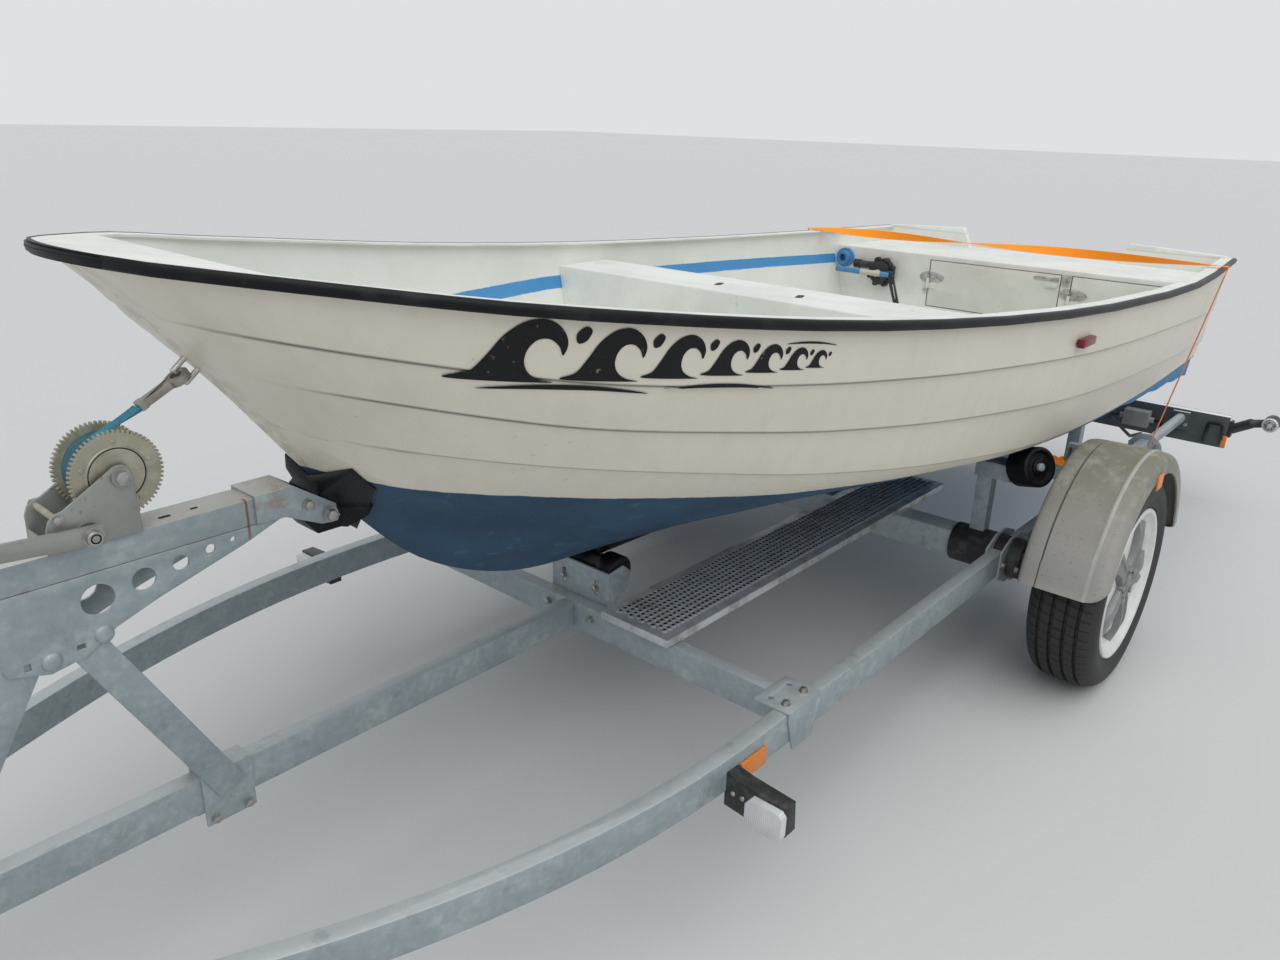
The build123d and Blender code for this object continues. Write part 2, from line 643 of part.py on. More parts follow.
def rim(side):
    """Alloy rim with five spokes and a hub that turns on the spindle."""
    bead, flange, lip = BEAD_HALF, BEAD_HALF + 5, BEAD_HALF + 11
    seat = BEAD_RADIUS - SEAT_GAP
    barrel = [(-lip, RIM_RADIUS), (-lip, seat - 12), (-50, seat - 26), (bead, seat - 16), (lip, seat - 10),
              (lip, RIM_RADIUS), (flange, RIM_RADIUS), (bead, seat), (-bead, seat), (-flange, RIM_RADIUS)]
    barrel = [(side * y, r) for y, r in barrel]
    wheel = turned(barrel, 0, side * TRACK_HALF, TYRE_RADIUS)
    face_y = TRACK_HALF + SPOKES_OUT
    disc = rod((0, side * (face_y - 14), TYRE_RADIUS), (0, side * face_y, TYRE_RADIUS), seat - 18)
    for turn in range(5):
        angle = math.radians(72 * turn + 36)
        corners = []
        for radius, spread in ((62, 15), (132, 25), (140, 14)):
            for way in (-1, 1):
                at = angle + way * math.radians(spread)
                corners.append((way, radius * math.sin(at), TYRE_RADIUS + radius * math.cos(at)))
        right = [(x, z) for way, x, z in corners if way > 0]
        left = [(x, z) for way, x, z in corners if way < 0]
        hole = plate(right + left[::-1], side * face_y - 60, 120)
        disc = disc - hole
    hub = rod((0, side * (TRACK_HALF - 30), TYRE_RADIUS), (0, side * (face_y + 6), TYRE_RADIUS), 42)
    bore = rod((0, side * (TRACK_HALF - 60), TYRE_RADIUS), (0, side * (TRACK_HALF + 12), TYRE_RADIUS),
               SPINDLE_RADIUS + SEAT_GAP)
    return wheel + disc + hub - bore


def mudguards():
    """Plastic mudguards with a crease and an outer skirt."""
    r, t = GUARD_RADIUS, GUARD_THICK
    profile = [(GUARD_IN, r - 14), (GUARD_IN + 8, r - 2), (GUARD_IN + 60, r), (GUARD_OUT - 22, r),
               (GUARD_OUT - 6, r - 8), (GUARD_OUT, r - 24), (GUARD_OUT, GUARD_SKIRT),
               (GUARD_OUT - t, GUARD_SKIRT), (GUARD_OUT - t, r - 26), (GUARD_OUT - 10, r - 13),
               (GUARD_OUT - 24, r - t), (GUARD_IN + 60, r - t), (GUARD_IN + 10, r - t - 2),
               (GUARD_IN + t, r - 15)]
    plane = Plane(origin=(GUARD_X, 0, GUARD_Z), x_dir=(0, 1, 0), z_dir=(1, 0, 0))
    face = make_face(plane * Polyline(*profile, close=True))
    axis = Axis((GUARD_X, 0, GUARD_Z), (0, 1, 0))
    half = 90 - GUARD_LIP
    guard = revolve(face.rotate(axis, -half), axis, 2 * half)
    return both_sides(guard)


def guard_stays():
    """Bent flat bars from the rails up to the inner edge of the mudguards."""
    inner, edge = GUARD_IN - STAY_OUTSIDE, GUARD_IN + 28
    under = GUARD_RADIUS - GUARD_THICK - 1.6
    stays = []
    for x in (GUARD_X - 35, GUARD_X - 215):
        span = (x - 15, x + 15)
        foot = block(span, (RAIL_OUT, RAIL_OUT + STAY), (FRAME_BOTTOM + 4, 305))
        reach = block(span, (RAIL_OUT, inner + STAY), (305 - STAY, 305))
        rise = block(span, (inner, inner + STAY), (305 - STAY, 600))
        tab = block(span, (inner, edge), (450, 600))
        inside = turned([(inner, 0), (edge, 0), (edge, under), (GUARD_IN, GUARD_RADIUS - 20),
                         (inner, GUARD_RADIUS - 20)], GUARD_X, 0, GUARD_Z)
        hollow = turned([(inner + STAY, 0), (edge + 40, 0), (edge + 40, GUARD_RADIUS - 30),
                         (inner + STAY, GUARD_RADIUS - 30)], GUARD_X, 0, GUARD_Z)
        stays.append(foot + reach + (((rise + tab) & inside) - hollow))
    return both_sides(together(*stays))


def keel_bracket():
    """Slotted U bracket behind the front cross-member."""
    face = CROSS_X - TUBE_WIDE
    front = block((face - 5, face), (-80, 80), (FRAME_BOTTOM + 2, 392))
    for y in (-46, 46):
        front = front - block((face - 20, face + 20), (y - 5, y + 5), (335, 368))
    bracket = front
    for y in (-80, 76):
        ear = [(face - 5, 300), (face - 5, 392), (KEEL_ROLLER_X, 398), (KEEL_ROLLER_X - 24, 378),
               (KEEL_ROLLER_X - 14, 350)]
        bracket = bracket + plate(ear, y, 4)
    pin = rod((KEEL_ROLLER_X, -86, KEEL_ROLLER_Z), (KEEL_ROLLER_X, 86, KEEL_ROLLER_Z), 8)
    return bracket + pin


def keel_roller():
    """Waisted rubber roller under the forefoot."""
    half, end, waist = KEEL_ROLLER_HALF, KEEL_ROLLER_RADIUS, KEEL_ROLLER_WAIST
    profile = [(-half, 8 + SEAT_GAP), (half, 8 + SEAT_GAP), (half, end - 4), (half - 4, end),
               (34, end), (20, waist), (-20, waist), (-34, end), (4 - half, end), (-half, end - 4)]
    return turned(profile, KEEL_ROLLER_X, 0, KEEL_ROLLER_Z)


def bottom_at(x):
    """A point on the bottom under the port side roller's middle line at x."""
    keel, side = hull_row(x)
    slope = (side[0][1] - keel) / side[0][0]
    return Vector(x, SIDE_ROLLER_Y, keel + slope * SIDE_ROLLER_Y)


def roller_line(along):
    """A point on the port side roller's axis, some way outboard of its middle."""
    slope = math.atan(bottom_slope())
    aside = Vector(0, math.cos(slope), math.sin(slope))
    ahead = (bottom_at(SIDE_ROLLER_X + 50) - bottom_at(SIDE_ROLLER_X - 50)).normalized()
    down = aside.cross(ahead).normalized()
    yaw = math.radians(SIDE_ROLLER_YAW)
    axis = (aside * math.cos(yaw) + ahead * math.sin(yaw)).normalized()
    return bottom_at(SIDE_ROLLER_X) + down * (SIDE_ROLLER_RADIUS + CHINE_DROP) + axis * along


def side_posts():
    """Square posts on the axle beam, each with its roller's bracket and spindle."""
    half = POST / 2
    hub = roller_line(-SIDE_ROLLER_LENGTH / 2 - 8)
    top = hub.Z + 6
    foot = AXLE_Z + BEAM / 2
    across_x, across_y = (SIDE_ROLLER_X - half, SIDE_ROLLER_X + half), (POST_Y - half, POST_Y + half)
    post = block(across_x, across_y, (foot, top - 10))
    post = post - rod((AXLE_X, BEAM_HALF, AXLE_Z), (AXLE_X, HOUSING_OUT, AXLE_Z), HOUSING_RADIUS)
    head = block((hub.X - 24, SIDE_ROLLER_X + half + 6), (POST_Y - half - 6, hub.Y), (hub.Z - 32, top))
    axis = (roller_line(1) - roller_line(0)).normalized()
    end = hub + axis * 4
    face = Plane(origin=end, z_dir=axis)
    head = head - face * Pos(0, 0, 60) * Box(300, 300, 120)
    spindle = rod(roller_line(-SIDE_ROLLER_LENGTH / 2 - 20), roller_line(SIDE_ROLLER_LENGTH / 2 + 4), 9)
    return both_sides(post + head + spindle)


def side_rollers():
    """Ribbed rubber rollers with sunk ends that hold the chines."""
    half = SIDE_ROLLER_LENGTH / 2
    profile = [(9 + SEAT_GAP, -half), (SIDE_ROLLER_RADIUS - 3, -half), (SIDE_ROLLER_RADIUS, 3 - half),
               (SIDE_ROLLER_RADIUS, half - 3), (SIDE_ROLLER_RADIUS - 3, half), (SIDE_ROLLER_RADIUS - 9, half),
               (SIDE_ROLLER_RADIUS - 13, half - 8), (20, half - 8), (18, half - 2), (9 + SEAT_GAP, half - 2)]
    axis = (roller_line(1) - roller_line(0)).normalized()
    plane = Plane(origin=roller_line(0), x_dir=axis.cross(Vector(0, 0, 1)), z_dir=axis)
    face = make_face(Plane.XZ * Polyline(*profile, close=True))
    return both_sides(plane * revolve(face, Axis.Z))


def rear_posts(outside):
    """Posts on the rear cross-member, each with a pad cut to the bottom."""
    x = REAR_CROSS_X - TUBE_WIDE / 2
    keel, side = hull_row(x)
    slope = (side[0][1] - keel) / side[0][0]
    y0, y1 = 400, 500
    z0, z1 = keel + slope * y0, keel + slope * y1
    pad = across([(y0, z0 - 32), (y1, z1 - 32), (y1, z1 + 6), (y0, z0 + 6)], x - 60, 120) - outside
    pad = max(pad.solids(), key=lambda piece: -piece.center().Z)
    middle = (y0 + y1) / 2
    post = block((x - POST / 2, x + POST / 2), (middle - POST / 2, middle + POST / 2), (FRAME_TOP, z0 - 22))
    return both_sides(post + pad)


def walkway():
    """Folded aluminium walkway on the cross-members."""
    x, y = PLANK_X, PLANK_Y
    foot = FRAME_TOP + 5.5
    sheet = block(x, y, (PLANK_TOP - PLANK_SHEET, PLANK_TOP))
    for edge in (y[0], y[1] - PLANK_SHEET):
        sheet = sheet + block(x, (edge, edge + PLANK_SHEET), (foot, PLANK_TOP))
    nose = block((x[1] - PLANK_SHEET, x[1]), y, (foot, PLANK_TOP))
    feet = block((CROSS_X - 25, CROSS_X - 5), (y[0] + 20, y[1] - 20), (FRAME_TOP, PLANK_TOP - PLANK_SHEET))
    return sheet + nose + feet


def post_tube():
    """Square tube of the winch post."""
    half = POST_TUBE_WIDE / 2
    return block(POST_TUBE_X, (-half, half), (POST_TUBE_TOP - POST_TUBE_HIGH, POST_TUBE_TOP))


def gussets():
    """Side plates of the winch post with holes that shrink aft."""
    under = POST_TUBE_TOP - POST_TUBE_HIGH
    side = POST_TUBE_WIDE / 2
    outline = [(1660, under), (1720, 672), (1847, 633), (1904, 612), (1943, 586), (1988, 578),
               (2034, 592), (2045, 616), (2050, under)]
    sheet = plate(outline, side - CLAMP_THICK, CLAMP_THICK)
    for x, z, radius in ((1920, 658, 21), (1861, 666, 16), (1811, 673, 11), (1769, 680, 7), (1736, 684, 4)):
        sheet = sheet - rod((x, 0, z), (x, 2 * side, z), radius)
    for x, z, long, high in ((1949, 601, 11, 8), (2012, 597, 8, 11)):
        sheet = sheet - block((x - long / 2, x + long / 2), (0, 2 * side), (z - high / 2, z + high / 2))
    return both_sides(sheet)


def leg_bar(top, foot, wide):
    """Flat bar between two (x, z) points."""
    run = Vector(foot[0] - top[0], 0, foot[1] - top[1]).normalized() * (wide / 2)
    dx, dz = run.Z, -run.X
    outline = [(top[0] + dx, top[1] + dz), (top[0] - dx, top[1] - dz),
               (foot[0] - dx, foot[1] - dz), (foot[0] + dx, foot[1] + dz)]
    return plate(outline, 20, 5.8)


LEG_FEET = (1782, 2190)


def post_legs():
    """Flat legs from the gussets down to the centre tube, aft and forward."""
    top = (1938, 592)
    fore_top = (2012, 604)
    legs = [leg_bar(top, (LEG_FEET[0], 290), 44), leg_bar(fore_top, (LEG_FEET[1], 290), 44)]
    return both_sides(together(*legs))


def leg_clamps():
    """U plates that hold the legs on the centre tube, bolted below it."""
    half = TUBE_WIDE / 2
    clamps = []
    for x in LEG_FEET:
        span = (x - 35, x + 43)
        sides = [block(span, (side * half, side * 20), (236, FRAME_TOP + 5)) for side in BOTH]
        top = block(span, (-20, 20), (FRAME_TOP, FRAME_TOP + 5))
        bolts = [rod((x + reach, -20, 246), (x + reach, 20, 246), 6) for reach in (-22, 30)]
        clamps.append(sides[0] + sides[1] + top + bolts[0] + bolts[1])
    return together(*clamps)


def winch_frame():
    """Pressed side plates, base and front guard of the hand winch."""
    floor, side = POST_TUBE_TOP, WINCH_HALF
    apex = [(WINCH_X + 14 * math.cos(turn), WINCH_Z + 14 * math.sin(turn))
            for turn in (math.radians(60), math.radians(100), math.radians(140), math.radians(180))]
    outline = [(1854, floor), (1966, floor), (1962, floor + 37), (1950, floor + 51)] + apex
    base = block((1854, 1966), (-side, side), (floor, floor + 4))
    frame = base + plate(outline, side - 4, 4) + plate(outline, -side, 4)
    guard = [(1962, floor), (1966, floor), (1962, floor + 37), (1950, floor + 51), (1947, floor + 48),
             (1958, floor + 35)]
    frame = frame + plate(guard, -side, 2 * side)
    shaft = rod((WINCH_X, -side - 4, WINCH_Z), (WINCH_X, side + 4, WINCH_Z), SHAFT_RADIUS)
    crank_hole = rod((CRANK_X, -60, CRANK_Z), (CRANK_X, 60, CRANK_Z), 7 + SEAT_GAP)
    return frame + shaft - crank_hole


def gear(y, thick):
    """Toothed disc of the winch."""
    corners = []
    root = GEAR_RADIUS - 4
    for tooth in range(GEAR_TEETH):
        for share, radius in ((0, root), (0.3, root), (0.45, GEAR_RADIUS), (0.85, GEAR_RADIUS)):
            angle = 2 * math.pi * (tooth + share) / GEAR_TEETH
            corners.append((WINCH_X + radius * math.cos(angle), WINCH_Z + radius * math.sin(angle)))
    return plate(corners, y, thick)


def winch_drum():
    """Drum between its two gear discs."""
    drum = rod((WINCH_X, -27, WINCH_Z), (WINCH_X, 27, WINCH_Z), DRUM_RADIUS)
    drum = drum + gear(24, 5) + gear(-29, 5)
    return drum - rod((WINCH_X, -40, WINCH_Z), (WINCH_X, 40, WINCH_Z), 8 + SEAT_GAP)


def crank():
    """Pinion shaft, flat arm and grip of the winch."""
    pin = rod((CRANK_X, -36, CRANK_Z), (CRANK_X, 62, CRANK_Z), 7)
    pinion = rod((CRANK_X, 22, CRANK_Z), (CRANK_X, 30, CRANK_Z), 12.5)
    end = (CRANK_X + 210, CRANK_Z + 18)
    arm = plate([(CRANK_X - 14, CRANK_Z - 13), (CRANK_X - 14, CRANK_Z + 13), (end[0] + 10, end[1] + 10),
                 (end[0] + 10, end[1] - 10)], 46, 6)
    grip = rod((end[0], 52, end[1]), (end[0], 165, end[1]), 15)
    return pin + pinion + arm + grip


def eye_bar():
    """Point of the bow eye's outer bar that the hook pulls on."""
    return Vector(EYE_X, 0, EYE_Z) + EYE_OUT * EYE_REACH


def strap_run():
    """Unit direction of the tight strap from the eye, and its point on the roll."""
    bar, drum = eye_bar(), Vector(WINCH_X, 0, WINCH_Z)
    span = drum - bar
    reach = math.sqrt(span.length**2 - ROLL_RADIUS**2)
    angle = math.atan2(span.Z, span.X) + math.atan2(ROLL_RADIUS, reach)
    along = Vector(math.cos(angle), 0, math.sin(angle))
    return along, bar + along * reach


def strap_roll():
    """Webbing wound on the drum and pulled tight to the hook."""
    roll = rod((WINCH_X, -23.5, WINCH_Z), (WINCH_X, 23.5, WINCH_Z), ROLL_RADIUS)
    along, touch = strap_run()
    end = eye_bar() + along * HOOK_LONG
    side = Vector(along.Z, 0, -along.X) * WEB_THICK
    corners = [touch, end, end + side, touch + side]
    web = plate([(point.X, point.Z) for point in corners], -20, 40)
    return roll + web - rod((WINCH_X, -40, WINCH_Z), (WINCH_X, 40, WINCH_Z), DRUM_RADIUS + SEAT_GAP)


def winch_hook():
    """Snap hook round the eye's bar, with the bar that the strap is sewn round."""
    along = strap_run()[0]
    centre = eye_bar() + along * (HOOK_RING / 2 - EYE_BAR - 1)
    reach = HOOK_LONG - SEAT_GAP - (centre - eye_bar()).length
    flat = Plane(origin=centre - along.cross(Vector(0, 1, 0)) * (HOOK_THICK / 2), x_dir=along,
                 z_dir=along.cross(Vector(0, 1, 0)))
    body = Circle(HOOK_RING) + Pos(reach / 2, 0) * Rectangle(reach, 14) - Circle(HOOK_RING / 2)
    body = body + Pos(reach - 5, 0) * Rectangle(10, 42) - Pos(reach / 2 + 6, 4) * Rectangle(20, 3)
    return extrude(flat * body, HOOK_THICK)


def bow_cap():
    """Cap on the post tube with ears that carry the bow block."""
    half = POST_TUBE_WIDE / 2
    low, high = POST_TUBE_TOP - POST_TUBE_HIGH, POST_TUBE_TOP
    over = block((1640, 1700), (-half - 4, half + 4), (high, high + 4))
    cap = over + block((1648, 1656), (-half - 4, half + 4), (low, high + 4))
    ear = [(1700, low + 2), (1700, high + 4), (1640, high + 4), (1574, 694), (1572, 676), (1584, 666),
           (1600, 668), (1656, low)]
    for y in (-half - 4, half):
        cap = cap + plate(ear, y, 4)
    return cap + rod((PIVOT_X, -half - 10, PIVOT_Z), (PIVOT_X, half + 10, PIVOT_Z), 8)


def bow_block(outside):
    """Rubber V block that holds the stem, cut to the hull."""
    half = POST_TUBE_WIDE / 2 - 1
    neck = rod((PIVOT_X, -half, PIVOT_Z), (PIVOT_X, half, PIVOT_Z), 24)
    body = plate([(1640, 696), (1608, 722), (1566, 748), (1556, 656), (1605, 652)], -half, 2 * half)
    plan = [(1612, -half), (1612, half), (1566, half + 1), (1540, 66), (1516, 62), (1556, 0),
            (1516, -62), (1540, -66), (1566, -half - 1)]
    spread = Pos(0, 0, 640) * extrude(make_face(Polyline(*plan, close=True)), 130, dir=(0, 0, 1))
    wings = spread & plate([(1612, 722), (1556, 760), (1510, 706), (1560, 652), (1605, 652)], -70, 140)
    solid = neck + body + wings - outside
    solid = solid - rod((PIVOT_X, -80, PIVOT_Z), (PIVOT_X, 80, PIVOT_Z), 8 + SEAT_GAP)
    return max(solid.solids(), key=lambda piece: piece.volume)


def light_bar():
    """Round tubes that carry the light board, with their end plates."""
    y, z, r = LIGHT_TUBE_Y, LIGHT_TUBE_Z, LIGHT_TUBE_RADIUS
    tube = pipe((REAR_END_X - 70, y, z), (BOARD_X + 12, y, z), r, 3)
    tube = tube + rod((REAR_END_X, y, z), (REAR_END_X - 70, y, z), r)
    shield = rod((REAR_END_X - 6, y, 285), (REAR_END_X, y, 285), 52)
    shield = shield & block((REAR_END_X - 10, REAR_END_X + 10), (y - 60, y + 60), (250, 360))
    return both_sides(tube + shield)


def light_board():
    """Folded board across the stern with its lamp windows."""
    low, high = BOARD_Z
    sheet = block((BOARD_X, BOARD_X + 3), (-BOARD_HALF, BOARD_HALF), (low, high))
    for z in (low, high - 3):
        sheet = sheet + block((BOARD_X - 22, BOARD_X + 3), (-BOARD_HALF, BOARD_HALF), (z, z + 3))
    for side in BOTH:
        y = side * LIGHT_TUBE_Y
        foot = block((BOARD_X + 3, BOARD_X + 12), (y - 28, y + 28), (LIGHT_TUBE_Z - 40, LIGHT_TUBE_Z + 24))
        sheet = sheet + foot
    return sheet


def rear_lamps():
    """Lamp clusters behind the board."""
    low, high = BOARD_Z
    return both_sides(block((LAMP_BACK_X, BOARD_X), (LAMP_IN, BOARD_HALF - 10), (low + 4, high - 4)))


def stalk_lamps():
    """Clearance lamps on rubber stalks at the board's ends."""
    x, y = BOARD_X - 10, BOARD_HALF
    root, bend, tip = (x, y + 7, 290), (x, y + 60, 321), (x, y + 114, 334)
    arm = block((x - 18, x + 14), (y, y + 10), (262, 318))
    arm = arm + rod(root, bend, 17) + Pos(*bend) * Sphere(17) + rod(bend, tip, 14)
    lamp = rod((x - 26, y + 120, 334), (x + 26, y + 120, 334), 25)
    return both_sides(arm + lamp)


def junction_box():
    """Grey cable box in front of the board, with a cable gland at each end."""
    x = BOARD_X + 26
    glands = rod((x, BOX_Y[0] - GLAND_OUT, GLAND_Z), (x, BOX_Y[1] + GLAND_OUT, GLAND_Z), 10)
    return block((BOARD_X + 3, BOARD_X + 48), BOX_Y, BOX_Z) + glands


def cable(points, bend):
    """Round cable through some points, its corners rounded."""
    route = FilletPolyline(*points, radius=bend)
    start = Plane(origin=points[0], z_dir=Vector(*points[1]) - Vector(*points[0]))
    return sweep(start * Circle(CABLE_RADIUS), path=route)


def light_cables():
    """Cables from the frame to the box, from the box to the board, and looped to each lamp."""
    face, x = BOARD_X + 3 + SEAT_GAP, BOARD_X + 26
    low, high = BOARD_Z[0] + 16, BOARD_Z[1] - 26
    ends = BOX_Y[0] - GLAND_OUT - SEAT_GAP, BOX_Y[1] + GLAND_OUT + SEAT_GAP
    plate_y = LIGHT_TUBE_Y - 47
    feed = cable([(REAR_END_X - 6 - SEAT_GAP, plate_y, LIGHT_TUBE_Z),
                  (REAR_END_X - 130, plate_y, LIGHT_TUBE_Z),
                  (REAR_END_X - 250, plate_y - 60, LIGHT_TUBE_Z - 50), (x, ends[0] - 52, GLAND_Z),
                  (x, ends[0], GLAND_Z)], 24)
    drop_y = ends[1] + 26
    link = cable([(x, ends[1], GLAND_Z), (x, drop_y, GLAND_Z), (x, drop_y, low), (face, drop_y, low)], 12)
    near, far = BOARD_HALF - 10 - LOOP_WIDE, BOARD_HALF - 10
    loop = cable([(face, near, low), (face + 16, near, low), (face + 16, near + 6, high),
                  (face + 16, far - 6, high), (face + 16, far, low + 14), (face, far, low + 14)], 10)
    return together(feed, link, loop, mirror(loop, about=Plane.XZ))


def front_lamps():
    """Position lamps on black arms outside the rails."""
    x, y = 1240, RAIL_OUT
    outline = [(y - 4, 236), (y - 4, 298), (y + 30, 292), (y + 108, 286), (y + 111, 236), (y + 40, 232)]
    arm = across(outline, x - 17, 28) - side_rails()
    arm = max(arm.solids(), key=lambda piece: piece.volume)
    lens = [(y + 44, 240), (y + 44, 272), (y + 52, 282), (y + 104, 282), (y + 111, 274), (y + 111, 240),
            (y + 104, 232), (y + 52, 232)]
    return both_sides(arm + across(lens, x + 11, 14))


def reflectors():
    """Amber reflectors on the rails and on the mudguards."""
    rail = block((1150, 1219), (RAIL_OUT + 0.2, RAIL_OUT + 5), (FRAME_BOTTOM + 3, FRAME_BOTTOM + 37))
    guard = block((2, 44), (GUARD_OUT, GUARD_OUT + 4), (512, 546))
    return both_sides(together(rail, guard))


def coupling():
    """Ball coupling head clamped on the centre tube, with its handle."""
    z = (FRAME_BOTTOM + FRAME_TOP) / 2
    sleeve = block((2745, CENTRE_END_X + 30), (-21, 21), (FRAME_BOTTOM - 6, FRAME_TOP + 6))
    sleeve = sleeve - block((2700, CENTRE_END_X), (-15, 15), (FRAME_BOTTOM, FRAME_TOP))
    neck = block((CENTRE_END_X + 30, 2910), (-18, 18), (z - 26, z + 32))
    head = Pos(COUPLING_TIP_X - 38, 0, z) * Cylinder(38, 64)
    socket = Pos(COUPLING_TIP_X - 38, 0, z - 32) * Cylinder(25.5, 66)
    handle = plate([(2800, z + 32), (2890, z + 34), (2820, z + 92), (2740, z + 100), (2740, z + 86)], -12, 24)
    return sleeve + neck + head - socket + handle


def jockey_clamp():
    """Clamp that holds the jockey tube beside the drawbar."""
    x, y, z = JOCKEY_X, JOCKEY_Y, (FRAME_BOTTOM + FRAME_TOP) / 2
    tube_hole = Pos(x, y, z) * Cylinder(24 + SEAT_GAP, 80)
    ring = Pos(x, y, z) * Cylinder(34, 60) - tube_hole
    rail_y = -rail_outside(x)
    arm = block((x - 20, x + 20), (y + 28, rail_y + TUBE_WIDE), (z - 28, z + 28)) - side_rails() - tube_hole
    arm = min(arm.solids(), key=lambda piece: piece.center().Y)
    handle = rod((x, y - 33, z), (x, y - 75, z), 6)
    return ring + arm + handle + rod((x, y - 72, z - 40), (x, y - 72, z + 40), 5)


def jockey_tube():
    """Outer tube of the jockey wheel with its crank on top."""
    tube = Pos(JOCKEY_X, JOCKEY_Y, 470) * Cylinder(24, 500) - Pos(JOCKEY_X, JOCKEY_Y, 440) * Cylinder(21, 500)
    head = Pos(JOCKEY_X, JOCKEY_Y, 735) * Cylinder(27, 30)
    arm = block((JOCKEY_X, JOCKEY_X + 110), (JOCKEY_Y - 10, JOCKEY_Y + 10), (752, 760))
    grip = rod((JOCKEY_X + 98, JOCKEY_Y, 760), (JOCKEY_X + 98, JOCKEY_Y, 845), 12)
    return tube + head + arm + grip + Pos(JOCKEY_X, JOCKEY_Y, 750) * Cylinder(9, 20)


def jockey_fork():
    """Inner tube and fork that swivel under the jockey tube."""
    stem = Pos(JOCKEY_X, JOCKEY_Y, 440) * Cylinder(20.4, 470)
    axle_x = JOCKEY_X - JOCKEY_TRAIL
    crown = block((JOCKEY_X - 30, JOCKEY_X + 24), (JOCKEY_Y - 38, JOCKEY_Y + 38), (208, 216))
    fork = stem + crown
    for y in (JOCKEY_Y - 38, JOCKEY_Y + 33):
        leg = plate([(JOCKEY_X + 24, 216), (axle_x + 16, 90), (axle_x - 16, 90), (axle_x - 16, 112),
                     (JOCKEY_X - 30, 216)], y, 5)
        fork = fork + leg
    pin = rod((axle_x, JOCKEY_Y - 42, JOCKEY_RADIUS), (axle_x, JOCKEY_Y + 42, JOCKEY_RADIUS), 8)
    return fork + pin


def jockey_wheel():
    """Solid rubber wheel of the jockey."""
    half = JOCKEY_WIDE / 2
    right = [(half + 2, 8 + SEAT_GAP), (half - 4, 60), (half, 88), (half - 10, JOCKEY_RADIUS)]
    left = [(-y, radius) for y, radius in reversed(right)]
    return turned(right + left, JOCKEY_X - JOCKEY_TRAIL, JOCKEY_Y, JOCKEY_RADIUS)


def all_nodes():
    """Every node by name."""
    outside = hull_outside()
    space = hull_inside()
    flange = together(*gunwale_flange(), bow_flange())
    nodes = {
        "hull_shell": outside - space - transom_cut(),
        "gunwale_flange": flange,
        "gunwale_rubber": together(*gunwale_rubber(), bow_rubber()),
        "transom_wings": transom_wings() - outside - flange,
        "breasthook": breasthook(),
        "keel_strip": keel_strip() - outside,
        "thwart_box": thwart(space),
        "aft_locker": locker_front(space) + locker_deck(space),
        "locker_hinges": hinge_pins(),
        "bilge_pump": together(bilge_pump(), pump_lever()),
        "hose_flange": hose_flange(space),
        "bow_eye": bow_eye() - outside,
        "side_markers": side_markers() - outside,
        "lashing_strap": strap_over(),
        "centre_tube": centre_tube(),
        "side_rails": together(side_rails(), rear_rails()),
        "cross_tubes": together(cross_tube(CROSS_X), cross_tube(REAR_CROSS_X)),
        "frame_plates": together(cross_clamps(), drawbar_plates()),
        "axle_beam": axle_beam(),
        "axle_housings": housings(),
        "axle_cheeks": axle_cheeks(),
        "swing_arms": swing_arms(),
        "mudguards": mudguards(),
        "guard_stays": guard_stays(),
        "keel_roller_bracket": keel_bracket(),
        "keel_roller": keel_roller(),
        "side_posts": side_posts(),
        "side_rollers": side_rollers(),
        "rear_posts": rear_posts(outside),
        "walkway_plank": walkway(),
        "winch_post_tube": post_tube(),
        "winch_post_gussets": gussets(),
        "winch_post_legs": post_legs(),
        "leg_clamps": leg_clamps(),
        "winch_frame": winch_frame(),
        "winch_drum": winch_drum(),
        "winch_crank": crank(),
        "winch_strap": strap_roll(),
        "winch_hook": winch_hook(),
        "bow_block_cap": bow_cap(),
        "bow_block": bow_block(outside),
        "light_bar_tubes": light_bar(),
        "light_board": light_board(),
        "rear_lamps": rear_lamps(),
        "stalk_lamps": stalk_lamps(),
        "junction_box": junction_box(),
        "light_cables": light_cables(),
        "front_lamps": front_lamps(),
        "reflectors": reflectors(),
        "coupling_head": coupling(),
        "jockey_clamp": jockey_clamp(),
        "jockey_tube": jockey_tube(),
        "jockey_fork": jockey_fork(),
        "jockey_wheel": jockey_wheel(),
    }
    for name, y in DOORS.items():
        nodes[f"locker_door_{name}"] = locker_door(y)
    for name, side in (("port", 1), ("starboard", -1)):
        nodes[f"tyre_{name}"] = tyre(side)
        nodes[f"rim_{name}"] = rim(side)
    return nodes


os.makedirs("parts", exist_ok=True)
shift = Location((-ORIGIN_X, 0, 0))
for node, shape in all_nodes().items():
    export_step(Compound(children=solids_of(shape)).moved(shift), f"parts/{node}.step")
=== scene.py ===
import json
import math

import bmesh
import bpy
from mathutils import Matrix, Vector
from mathutils.bvhtree import BVHTree


